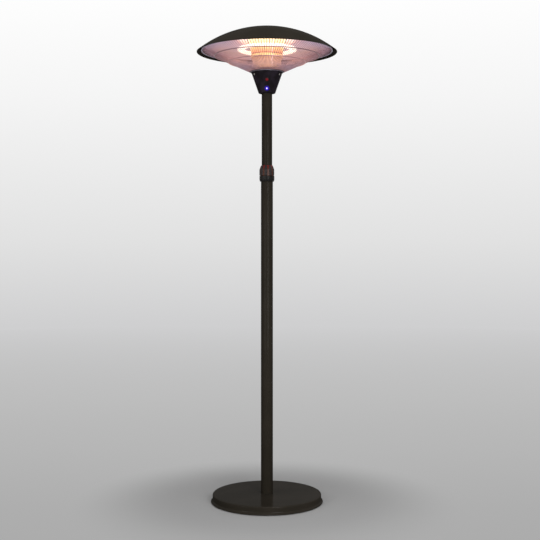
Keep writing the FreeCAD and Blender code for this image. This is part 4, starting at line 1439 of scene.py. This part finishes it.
@dataclass
class ControlHousing:
    """The moulded cone with its window, light, screws, gland and mains rocker."""

    foot: float = 1.743
    height: float = 0.0925
    foot_radius: float = 0.0365
    top_radius: float = 0.0676
    corner: float = 0.004
    bend: float = 0.0045
    bend_rise: float = 0.012
    bend_inset: float = 0.0012
    wall_rises_mm: tuple[int, int, int] = (18, 90, 6)
    rim_steps: tuple[tuple[float, float], ...] = ((0.0003, 0.0009), (0.0004, 0.0002), (0.0010, 0.0))
    wall: float = 0.0025
    bore: float = 0.0232
    boss: float = 0.012
    boss_depth: float = 0.014
    boss_edge: float = 0.0008
    cut_over: float = 0.002
    seat_gap: float = 0.00005
    lens_cut: float = 0.008
    window: float = 0.008
    window_rise: float = 0.052
    window_depth: float = 0.004
    window_skirt: float = 0.0001
    window_shoulder: float = 0.0004
    window_crown: float = 0.0006
    window_fall: float = 0.0002
    window_shares: tuple[float, ...] = (0.8, 0.55, 0.3, 0.0)
    led: float = 0.0045
    led_rise: float = 0.0165
    led_depth: float = 0.005
    led_crown: float = 0.0012
    screw_rise: float = 0.077
    screw_angles: tuple[float, ...] = (-150.0, -30.0, 90.0)
    screw_seat: float = 0.0042
    screw_sunk: float = 0.0014
    screw_head: float = 0.0035
    screw_edge: float = -0.0004
    screw_crown: float = 0.001
    screw_shank: float = 0.0015
    screw_end: float = 0.0094
    slot_half: tuple[float, float] = (0.0019, 0.0004)
    slot_floor: float = 0.0006
    slot_turn: float = 0.5
    gland_rise: float = 0.020
    gland_face: float = 0.04812
    gland_bore: float = 0.004
    gland_tube: float = 0.0075
    gland_tail: float = 0.018
    gland_foot: float = 0.0061
    gland_end: float = 0.014
    gland_tip: float = 0.006
    gland_lip: float = 0.0006
    gland_hole: tuple[float, float] = (0.0076, 0.02)
    rib_count: int = 4
    rib_outer: float = 0.0085
    rib_taper: float = 0.0025
    rib_groove: float = 0.0009
    rib_levels: tuple[float, float, float] = (0.0012, 0.0014, 0.0019)
    hexagon_flat: float = 0.010
    hexagon_bore: float = 0.0065
    hexagon_height: float = 0.006
    hexagon_edge: float = 0.0007
    switch_rise: float = 0.053
    switch_face: float = 0.05969
    switch_hole: SwitchBox = SwitchBox(0.0104, 0.0134, 0.016, 0.002)
    switch_pad: SwitchBox = SwitchBox(0.015, 0.017, 0.014, 0.0, 0.0008)
    switch_frame: SwitchBox = SwitchBox(0.0103, 0.0133, 0.024, 0.0005, 0.0004)
    switch_flange: SwitchBox = SwitchBox(0.0123, 0.0153, 0.0, 0.002, 0.0007)
    switch_pocket: SwitchBox = SwitchBox(0.0087, 0.0117, 0.010, 0.004)
    rocker_tilt: float = 8.0
    rocker_half: tuple[float, float] = (0.0082, 0.0106)
    rocker_shares: tuple[tuple[float, float], ...] = (
        (-0.003, 0.6),
        (0.0015, 1.0),
        (0.005, 1.0),
        (0.0038, 0.45),
    )
    rocker_dip: float = 0.0032
    rocker_edge: float = 0.0005
    pivot_depth: float = 0.0025
    pivot_half: float = 0.0098
    pivot_pin: float = 0.0014

    @property
    def slope(self) -> float:
        """How fast the wall spreads with height."""
        return (self.top_radius - self.foot_radius) / (self.height - self.corner)

    @property
    def switch_middle(self) -> float:
        """The height of the switch's middle."""
        return self.foot + self.switch_rise

    @property
    def gland_place(self) -> Matrix:
        """The gland's placement on the rear centre line, whose +Z points to the rear."""
        where = Matrix.Translation((0.0, self.gland_face, self.foot + self.gland_rise))
        return where @ Matrix.Rotation(-QUARTER_TURN, 4, "X")

    def spread(self, rise: float) -> float:
        """The wall's radius at a height above the foot."""
        return self.foot_radius + (rise - self.corner) * self.slope

    def on_wall(self, rise: float, degrees: float = FRONT_DEGREES) -> Matrix:
        """A placement on the wall whose +Z points out of it.

        Args:
            rise: The height above the foot.
            degrees: The turn round the axis.

        Returns:
            The placement.
        """
        angle = math.radians(degrees)
        lean = math.atan(self.slope)
        out = polar(math.cos(lean), angle, -math.sin(lean))
        level = Vector((-math.sin(angle), math.cos(angle), 0.0))
        turn = Matrix((level, out.cross(level), out)).transposed().to_4x4()
        return Matrix.Translation(polar(self.spread(rise), angle, self.foot + rise)) @ turn

    def build(self) -> None:
        """Makes the shell and everything on it."""
        self._shell()
        self._window()
        self._light()
        self._screws()
        self._gland()
        self._switch()
        self._rocker()

    def _plug(self, place: Matrix, radius: float, depth: float) -> bpy.types.Object:
        """A round cutter from a depth under a placement to a little over it.

        Args:
            place: The placement.
            radius: The cutter's radius.
            depth: How far it goes in.

        Returns:
            The cutter.
        """
        shop = Shop()
        shop.lathe(oblong((0.0, -depth), (radius, self.cut_over)), 40, False, place)
        return shop.mesh_object("cutter")

    def _box(self, box: SwitchBox) -> bpy.types.Object:
        """A box about the switch, as a form to join or cut.

        Args:
            box: The box.

        Returns:
            The form.
        """
        shop = Shop()
        box.add(shop, self.switch_face, self.switch_middle)
        return shop.mesh_object("form")

    def _cutters(self) -> list[bpy.types.Object]:
        """Everything that is cut out of the shell.

        Returns:
            The cutters.
        """
        cuts = [
            self._plug(self.on_wall(self.window_rise), self.window, self.lens_cut),
            self._plug(self.on_wall(self.led_rise), self.led, self.lens_cut),
        ]
        for degrees in self.screw_angles:
            place = self.on_wall(self.screw_rise, degrees)
            cuts.append(self._plug(place, self.screw_seat, self.screw_sunk))
        return cuts + [self._plug(self.gland_place, *self.gland_hole), self._box(self.switch_hole)]

    def _shell(self) -> None:
        """The cone with its rounded foot, rear boss and switch pad."""
        inset = self.wall / math.cos(math.atan(self.slope))
        foot = self.foot
        top = foot + self.height
        corners = [
            (self.foot_radius - 2 * self.corner, foot),
            (self.foot_radius - self.bend_inset, foot),
            (self.spread(self.bend_rise), foot + self.bend_rise),
        ]
        outline = [(self.bore, foot)] + rounded(corners, self.bend, 6, False)
        for rise in range(*self.wall_rises_mm):
            outline.append((self.spread(rise * MM), foot + rise * MM))
        outline += [(self.top_radius - step_in, top - drop) for step_in, drop in self.rim_steps]
        outline += [
            (self.top_radius - inset, top),
            (self.spread(self.wall) - inset, foot + self.wall),
            (self.bore, foot + self.wall),
        ]
        shop, boss = Shop(), Shop()
        shop.lathe(outline, 144)
        section = oblong((0.0, -self.boss_depth), (self.boss, 0.0))
        boss.lathe(rounded(section, self.boss_edge, 3, False), 48, False, self.gland_place)
        joined = [boss.mesh_object("form"), self._box(self.switch_pad)]
        cutters = self._cutters()
        shop.piece("control_shell", Body.HEAD, SHELL, ["housing"], cutters, joined, crease=28.0)

    def _window(self) -> None:
        """The receiver's window, slightly crowned."""
        edge = self.window - self.seat_gap
        outline = [(0.0, -self.window_depth), (edge, -self.window_depth)]
        outline += [(edge, self.window_skirt), (edge - self.window_crown, self.window_shoulder)]
        for share in self.window_shares:
            outline.append((edge * share, self.window_crown - self.window_fall * share * share))
        shape = {"closed": False, "place": self.on_wall(self.window_rise)}
        Shop.turned("receiver_window", Body.HEAD, WINDOW, ["ir_window"], outline, 64, **shape)

    def _light(self) -> None:
        """The domed lens of the power light."""
        edge = self.led - self.seat_gap
        outline = [(0.0, -self.led_depth), (edge, -self.led_depth), (edge, 0.0)]
        outline += domed(edge, 0.0, self.led_crown, 8)
        shape = {"closed": False, "place": self.on_wall(self.led_rise)}
        Shop.turned("power_light", Body.HEAD, LED, ["led_lens"], outline, 48, 60.0, **shape)

    def _screws(self) -> None:
        """Pan-head screws with cross slots."""
        shop = Shop()
        cutters = []
        outline = oblong((0.0, -self.screw_end), (self.screw_shank, -self.screw_sunk))[:3]
        outline += [(self.screw_head, -self.screw_sunk), (self.screw_head, self.screw_edge)]
        outline += domed(self.screw_head, self.screw_edge, self.screw_crown, 6)
        half_length, half_width = self.slot_half
        low = (-half_length, -half_width, -self.slot_floor)
        high = (half_length, half_width, self.cut_over)
        for degrees in self.screw_angles:
            place = self.on_wall(self.screw_rise, degrees)
            shop.lathe(outline, 32, False, place)
            for turn in (self.slot_turn, self.slot_turn + QUARTER_TURN):
                slot = Shop()
                slot.block(low, high, place=place @ Matrix.Rotation(turn, 4, "Z"))
                cutters.append(slot.mesh_object("cutter"))
        shop.piece("shell_screws", Body.HEAD, ZINC, ["housing_screws"], cutters)

    def _gland(self) -> None:
        """The cord's gland: a tube, a chamfered hexagon and a ribbed tip."""
        bore, end = self.gland_bore, self.gland_end
        tube = [(self.gland_tube, self.gland_foot)]
        ridge, valley_start, valley_end = self.rib_levels
        for share in shares(self.rib_count)[:-1]:
            outer = self.rib_outer - self.rib_taper * share
            valley = outer - self.rib_groove
            start = between(self.gland_foot, end, share)
            tube += [(outer, start), (outer, start + ridge)]
            tube += [(valley, start + valley_start), (valley, start + valley_end)]
        tube += [(self.gland_tip, end), (bore + self.gland_lip, end), (bore, end - self.gland_lip)]
        tube += [(bore, -self.gland_tail), (self.gland_tube, -self.gland_tail)]
        corner = self.hexagon_flat / math.cos(math.pi / 6)
        hexagon = oblong((self.hexagon_bore, 0.0), (corner, self.hexagon_height))
        turned = self.gland_place @ Matrix.Rotation(math.pi / 6, 4, "Z")
        shop = Shop()
        shop.lathe(tube, 64, True, self.gland_place)
        shop.lathe(rounded(hexagon, self.hexagon_edge), 6, True, turned)
        shop.piece("cord_gland", Body.HEAD, BLACK, ["cable_gland"])

    def _switch(self) -> None:
        """The switch's frame with its pocket."""
        shop = Shop()
        for box in (self.switch_frame, self.switch_flange):
            box.add(shop, self.switch_face, self.switch_middle)
        cutters = [self._box(self.switch_pocket)]
        shop.piece("switch_frame", Body.HEAD, BLACK, ["switch_body"], cutters)

    def _rocker(self) -> None:
        """The mains rocker, tilted to its on side."""
        half_width, half_height = self.rocker_half
        pivot = Vector((0.0, self.switch_face - self.pivot_depth, self.switch_middle))
        upper = [(out, share * half_height) for out, share in self.rocker_shares]
        lower = [(out, -up) for out, up in upper]
        turn = Matrix.Rotation(math.radians(self.rocker_tilt), 3, "X")
        corners = []
        for out, up in lower + [(self.rocker_dip, 0.0)] + upper[::-1]:
            corners.append(pivot + turn @ Vector((-half_width, out, up)))
        pin = Vector((self.pivot_half, 0.0, 0.0))
        shop = Shop()
        shop.prism(corners, Vector((2 * half_width, 0.0, 0.0)), self.rocker_edge)
        shop.rope([pivot - pin, pivot + pin], self.pivot_pin, 16, False)
        shop.piece("mains_rocker", Body.ROCKER, BLACK, ["rocker_button"])


@dataclass
class Column:
    """The polished column between the housing and the reflector, and its foot hoop."""

    hoop_inner: float = 0.064
    hoop_outer: float = 0.071
    hoop_bottom: float = 1.8355
    hoop_top: float = 1.8395
    hoop_edge: float = 0.0014
    lip_inner: float = 0.0679
    lip_bottom: float = 1.8325
    foot: float = 0.070
    waist: float = 0.0615
    waist_share: float = 0.72
    bead: float = 0.068
    bead_height: float = 0.014
    bead_depth: float = 0.0022
    bead_wall: float = 0.003
    bead_edge: float = 0.0016
    joint: float = 1.8935
    top_radius: float = 0.080
    widening: float = 1.25
    flange: float = 0.008
    sheet: float = 0.001

    def build(self) -> None:
        """Makes the hoop and both parts of the column."""
        self._hoop()
        self._lower()
        self._upper()

    def _hoop(self) -> None:
        """The hoop over the housing's rim, with its lip outside."""
        corners = [
            (self.hoop_inner, self.hoop_bottom),
            (self.lip_inner, self.hoop_bottom),
            (self.lip_inner, self.lip_bottom),
            (self.hoop_outer, self.lip_bottom),
            (self.hoop_outer, self.hoop_top),
            (self.hoop_inner, self.hoop_top),
        ]
        outline = rounded(corners, self.hoop_edge, 4)
        Shop.turned("guard_hoop", Body.HEAD, HOOP, ["grille_base_hoop"], outline, 144)

    def _lower(self) -> None:
        """The flared foot, the waist and the rolled top edge."""
        waist_z = between(self.hoop_top, self.joint, self.waist_share)
        edge = self.bead - self.sheet
        outer = []
        for share in shares(10):
            radius = between(self.waist, self.foot, (1 - share) ** 2)
            outer.append((radius, between(self.hoop_top, waist_z, share)))
        for share in shares(8, 1):
            radius = between(self.waist, edge, share**2)
            outer.append((radius, between(waist_z, self.joint, share)))
        inner = [(radius - self.sheet, height) for radius, height in reversed(outer)]
        Shop.turned("column_foot", Body.HEAD, COLUMN, ["column_lower"], outer + inner, 144)

    def _upper(self) -> None:
        """The band, the widening cone and the flange under the reflector."""
        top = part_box("column_upper")[1].z
        bead_top = self.joint + self.bead_height
        root = self.bead - self.bead_depth
        bead = oblong((root, self.joint), (self.bead, bead_top))
        outline = rounded(bead, self.bead_edge, 4, False)
        for share in shares(8, 1):
            radius = between(root, self.top_radius, share**self.widening)
            outline.append((radius, between(bead_top, top, share)))
        outline += [
            (self.top_radius - self.flange, top),
            (self.top_radius - self.flange, top - self.sheet),
            (self.top_radius - self.sheet, top - self.sheet),
            (self.bead - self.bead_wall, bead_top),
            (self.bead - self.bead_wall, self.joint),
        ]
        Shop.turned("column_crown", Body.HEAD, COLUMN, ["column_upper"], outline, 144)


@dataclass
class Canopy:
    """The pressed dome and the polished dish under it."""

    radius: float = 0.300
    arc_radius: float = 0.280
    dome: float = 0.479
    rim: float = 1.919
    sheet: float = 0.0012
    dish_sheet: float = 0.001
    dish_inner: float = 0.072
    dish_edge: float = 0.274
    crown_share: float = 0.55

    @property
    def lean(self) -> float:
        """The skirt's slope."""
        return math.asin(self.arc_radius / self.dome)

    @property
    def crown(self) -> float:
        """The height of the dome's outside on the axis."""
        rise = self.dome - math.sqrt(self.dome**2 - self.arc_radius**2)
        return self.rim + rise + (self.radius - self.arc_radius) * math.tan(self.lean)

    def build(self) -> None:
        """Makes the dome and the dish."""
        self._dome()
        self._dish()

    def _profile(self, inset: float) -> Outline:
        """The dome's profile from the axis to the rim.

        Args:
            inset: The inset, square to the sheet.

        Returns:
            The profile.
        """
        end = 90.0 - math.degrees(self.lean)
        bow = arc((0.0, self.crown - self.dome), self.dome - inset, 90.0, end, 36)
        rim = (self.radius - inset * math.sin(self.lean), self.rim - inset * math.cos(self.lean))
        return [(0.0, self.crown - inset)] + bow[1:] + [rim]

    def _dome(self) -> None:
        """The dome with its dressed rim."""
        outline = self._profile(0.0) + self._profile(self.sheet)[::-1]
        Shop.turned("canopy_dome", Body.HEAD, PAINT, ["canopy"], outline, 192, closed=False)

    def _dish(self) -> None:
        """The reflector, which falls away ever faster to its edge."""
        low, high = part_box("reflector")
        top = high.z - self.dish_sheet
        under = []
        for share in shares(40):
            fall = (1 - self.crown_share) * share + self.crown_share * share * share
            radius = between(self.dish_inner, self.dish_edge, share)
            under.append((radius, between(top, low.z, fall)))
        over = [(radius, height + self.dish_sheet) for radius, height in reversed(under)]
        Shop.turned("reflector_dish", Body.HEAD, DISH, ["reflector"], under + over, 192)


@dataclass
class WireGuard:
    """The guard: wires from the hoop to an outer ring, with two thin rings under them."""

    foot_radius: float = 0.0717
    tip_radius: float = 0.279
    ring_inner: float = 0.276
    ring_outer: float = 0.281
    ring_height: float = 0.004
    ring_edge: float = 0.0012
    ring_sides: int = 48
    wire: float = 0.0013
    gap: float = 0.0001
    foot_level: float = 1.8355
    count: int = 144
    mid_shares: tuple[float, float] = (0.445, 0.725)
    mid_width: float = 0.003
    mid_height: float = 0.0026
    mid_edge: float = 0.0009

    def build(self) -> None:
        """Makes the wires and the rings."""
        self._wires()
        self._outer_ring()
        self._mid_rings()

    @property
    def ring_top(self) -> float:
        """The outer ring's top."""
        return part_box("grille_outer_ring")[1].z

    def axis_height(self, radius: float) -> float:
        """The height of a wire's centre line.

        Args:
            radius: The distance from the axis.

        Returns:
            The height.
        """
        reach = self.ring_inner * math.cos(math.pi / self.ring_sides) - self.foot_radius
        climb = self.ring_top - self.foot_level
        lift = (self.wire + self.gap) * math.sqrt(1 + (climb / reach) ** 2)
        return self.foot_level + (climb + lift) * (radius - self.foot_radius) / reach

    def _wires(self) -> None:
        """The radial wires."""
        shop = Shop()
        stations = [between(self.foot_radius, self.tip_radius, share) for share in shares(3)]
        heights = [self.axis_height(radius) for radius in stations]
        for angle in spaced(self.count):
            line = [polar(radius, angle, height) for radius, height in zip(stations, heights)]
            shop.rope(line, self.wire, 10)
        shop.piece("guard_wires", Body.HEAD, WIRE, ["grille_wires"], crease=60.0)

    def _outer_ring(self) -> None:
        """The flat ring that carries the wires' tips."""
        top = self.ring_top
        section = oblong((self.ring_inner, top - self.ring_height), (self.ring_outer, top))
        outline = rounded(section, self.ring_edge, 4)
        Shop.turned("guard_ring", Body.HEAD, RING, ["grille_outer_ring"], outline, 192)

    def _mid_rings(self) -> None:
        """The thin rings welded under the wires."""
        shop = Shop()
        for share in self.mid_shares:
            inner = between(self.foot_radius, self.tip_radius, share)
            outer = inner + self.mid_width
            slope = (self.axis_height(outer) - self.axis_height(inner)) / self.mid_width
            drop = self.wire * math.sqrt(1 + slope * slope)
            tops = [(radius, self.axis_height(radius) - drop) for radius in (outer, inner)]
            corners = [(radius, top - self.mid_height) for radius, top in reversed(tops)] + tops
            shop.lathe(rounded(corners, self.mid_edge, 4), 192)
        shop.piece("guard_mid_rings", Body.HEAD, WIRE, ["grille_mid_rings"])


@dataclass
class Lamp:
    """The lamp: two ring-shaped quartz tubes with coiled elements, their holder and hangers."""

    ring: float = 0.1125
    spacing: float = 0.017
    tube: float = 0.006
    tube_runs: int = 120
    gap_degrees: float = 14.0
    coil: float = 0.0011
    coil_wire: float = 0.0004
    coil_turns: int = 200
    coil_runs: int = 6
    holder_half: tuple[float, float] = (0.019, 0.009)
    holder_edge: float = 0.002
    hanger_count: int = 4
    hanger_turn: float = 45.0
    hanger: float = 0.0013
    hanger_foot: float = 0.004
    saddle: float = 0.0008
    saddle_gap: float = 0.0009
    saddle_bends: tuple[tuple[float, float], ...] = ((200.0, 40.0), (140.0, -20.0))

    @property
    def level(self) -> float:
        """The height of the tubes' centre lines."""
        low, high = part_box("lamp_tube")
        return (low.z + high.z) / 2

    @property
    def rings(self) -> tuple[float, float]:
        """The radii of the inner and the outer tube."""
        return self.ring - self.spacing / 2, self.ring + self.spacing / 2

    @property
    def half_gap(self) -> float:
        """Half the angle of the tubes' gap at the rear."""
        return math.radians(self.gap_degrees) / 2

    def build(self) -> None:
        """Makes the tubes, the elements, the holder and the hangers."""
        self._tubes()
        self._elements()
        self._holder()
        self._hangers()

    def _along(self, share: float) -> float:
        """The angle at a share of the way along a tube."""
        return between(REAR + self.half_gap, REAR + FULL_TURN - self.half_gap, share)

    def _tubes(self) -> None:
        """The quartz tubes."""
        level = self.level
        shop = Shop()
        for ring in self.rings:
            line = [polar(ring, self._along(share), level) for share in shares(self.tube_runs)]
            shop.rope(line, self.tube, 20, False)
        shop.piece("quartz_tubes", Body.HEAD, QUARTZ, ["lamp_tube"])

    def _elements(self) -> None:
        """The coiled element in each tube."""
        level = self.level
        shop = Shop()
        for ring in self.rings:
            line = []
            for share in shares(self.coil_turns * self.coil_runs):
                turn = polar(self.coil, FULL_TURN * self.coil_turns * share)
                line.append(polar(ring + turn.x, self._along(share), level + turn.y))
            shop.rope(line, self.coil_wire, 5, False)
        shop.piece("heating_coils", Body.HEAD, ELEMENT, ["lamp_filament"], crease=80.0)

    def _holder(self) -> None:
        """The ceramic holder with softened edges."""
        wide, tall = self.holder_half
        level = self.level
        section = oblong((self.ring - wide, level - tall), (self.ring + wide, level + tall))
        outline = rounded(section, self.holder_edge, 4)
        limits = (REAR - self.half_gap, REAR + self.half_gap)
        node = ["lamp_holder"]
        Shop.turned("ceramic_holder", Body.HEAD, CERAMIC, node, outline, 16, limits=limits)

    def _hangers(self) -> None:
        """Hangers from the reflector, each with a wire saddle over both tubes."""
        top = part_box("lamp_clips")[1].z
        level = self.level
        reach = self.tube + self.saddle_gap
        shop = Shop()
        for angle in spaced(self.hanger_count, FRONT + math.radians(self.hanger_turn)):
            saddle = []
            for ring, (first, last) in zip(self.rings, self.saddle_bends):
                for radius, height in arc((ring, level), reach, first, last, 8):
                    saddle.append(polar(radius, angle, height))
            shop.rope(saddle, self.saddle, 8)
            ends = [polar(self.ring, angle, height) for height in (level + self.hanger_foot, top)]
            shop.rope(ends, self.hanger, 10, False)
        shop.piece("lamp_hangers", Body.HEAD, ZINC, ["lamp_clips"], crease=60.0)


@dataclass
class Studio:
    """The floor, the backdrop's tone, the lights and the camera."""

    distance: float = 4.33
    eye: float = 1.11
    axis_x: float = 0.0131
    focal: float = 67.5
    sensor: float = 36.0
    horizon: float = 241.6
    frame: float = 540.0
    floor_rings: tuple[float, ...] = (0.0, 2.0, 9.0)
    floor_near: float = 1.0
    floor_run: float = 10.0
    floor_fade: tuple[float, float] = (0.35, 0.85)
    floor_grey: Colour = srgb(150, 150, 150)
    floor_tones: Stops = (
        (0.0, srgb(170, 170, 170)),
        (0.09, srgb(174, 174, 174)),
        (0.16, srgb(179, 179, 179)),
        (0.21, srgb(182, 182, 182)),
        (0.38, srgb(189, 189, 189)),
        (1.0, srgb(207, 207, 208)),
    )
    sky_tones: Stops = (
        (0.0, srgb(207, 207, 208)),
        (0.05, srgb(207, 207, 208)),
        (0.25, srgb(225, 225, 225)),
        (0.6, srgb(245, 245, 245)),
        (0.85, srgb(255, 255, 255)),
    )
    sky_below: float = 0.1
    sky_run: float = 0.4
    sky_fill: float = 0.35

    def build(self) -> None:
        """Makes the whole studio."""
        bpy.context.scene.view_settings.view_transform = "Standard"
        self._camera()
        self._floor()
        self._world()
        self._light("key", (1.7, -4.2, 1.5), (0.0, 0.0, 1.0), (1.8, 3.2), 190.0)
        self._light("fill", (-2.6, -3.4, 1.2), (0.0, 0.0, 0.9), (2.4, 2.4), 80.0)
        self._light("top", (0.4, -0.6, 5.2), (0.0, 0.0, 0.0), (3.2, 3.2), 130.0)

    def _camera(self) -> None:
        """The camera at the photograph's place, level, with its frame shifted down."""
        data = bpy.data.cameras.new("view")
        data.sensor_width = self.sensor
        data.lens = self.focal
        data.shift_y = (self.horizon - self.frame / 2) / self.frame
        camera = bpy.data.objects.new("view", data)
        bpy.context.scene.collection.objects.link(camera)
        camera.location = (self.axis_x, -self.distance, self.eye)
        camera.rotation_euler = (QUARTER_TURN, 0.0, 0.0)
        bpy.context.scene.camera = camera

    @staticmethod
    def _light(
        name: str, place: Point, aim: Point, size: tuple[float, float], power: float
    ) -> None:
        """A soft oblong light.

        Args:
            name: The light's name.
            place: Where it hangs.
            aim: What it points at.
            size: Its width and height.
            power: Its power in watts.
        """
        data = bpy.data.lights.new(name, "AREA")
        data.shape = "RECTANGLE"
        data.size, data.size_y = size
        data.energy = power
        lamp = bpy.data.objects.new(name, data)
        bpy.context.scene.collection.objects.link(lamp)
        lamp.location = place
        lamp.rotation_euler = (Vector(aim) - Vector(place)).to_track_quat("-Z", "Y").to_euler()

    def _floor(self) -> None:
        """A wide pale floor that keeps the shadow near the base and fades into the backdrop."""
        shop = Shop()
        shop.lathe([(radius, 0.0) for radius in self.floor_rings], 96, False)
        floor = shop.mesh_object("floor")
        material = bpy.data.materials.new("studio_floor")
        material.use_nodes = True
        graph = Graph(material.node_tree)
        depth = graph.parts(graph.place())[1]
        tone = graph.tint((depth + self.floor_near) / self.floor_run, self.floor_tones)
        matt = graph.value("BsdfDiffuse", inputs={"Color": self.floor_grey})
        lit = graph.value("Emission", inputs={"Color": tone, "Strength": 1.0})
        share = self._seen(graph) * graph.radius().fade(*self.floor_fade)
        mixed = graph.value("MixShader", inputs={0: share, 1: matt, 2: lit})
        graph.node("OutputMaterial", inputs={"Surface": mixed})
        floor.data.materials.append(material)

    @staticmethod
    def _seen(graph: Graph) -> Value:
        """Whether a ray comes from the camera, or through glass or a mirror.

        Args:
            graph: Where the nodes go.

        Returns:
            1 where it does.
        """
        outputs = graph.node("LightPath").outputs
        names = ("Is Camera Ray", "Is Glossy Ray", "Is Transmission Ray")
        camera, glossy, through = (Value(graph, outputs[name]) for name in names)
        return camera.either(glossy).either(through)

    def _world(self) -> None:
        """A pale sky that brightens upwards, and an even soft fill."""
        world = bpy.data.worlds.new("studio")
        bpy.context.scene.world = world
        world.use_nodes = True
        graph = Graph(world.node_tree)
        up = graph.parts(graph.value("TexCoord", output="Generated"))[2]
        tone = graph.tint((up + self.sky_below) / self.sky_run, self.sky_tones)
        white = (1.0, 1.0, 1.0)
        shown = graph.value("Background", inputs={"Color": tone, "Strength": 1.0})
        fill = graph.value("Background", inputs={"Color": white, "Strength": self.sky_fill})
        mixed = graph.value("MixShader", inputs={0: self._seen(graph), 1: fill, 2: shown})
        graph.node("OutputWorld", inputs={"Surface": mixed})


def dress_kept_nodes(nodes: dict[str, bpy.types.Object]) -> None:
    """Puts finishes on the model's own nodes that stay in sight or inside.

    Args:
        nodes: The model's nodes by name.
    """
    for name, finish in KEPT_NODES.items():
        node = nodes[name]
        node.data.materials.clear()
        node.data.materials.append(finish.material())
        LOG.info("%s keeps its form", name)


def main() -> None:
    """Builds every sub-assembly on the loaded frame, then the studio."""
    logging.basicConfig(level=logging.INFO, format="%(name)s: %(message)s")
    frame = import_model()
    head = (ControlHousing(), Column(), Canopy(), WireGuard(), Lamp())
    for part in (Base(), Pole(), TwistCollar(), *head):
        part.build()
    dress_kept_nodes(frame["nodes"])
    Studio().build()
    bpy.context.view_layer.update()


if __name__ == "__main__":
    main()
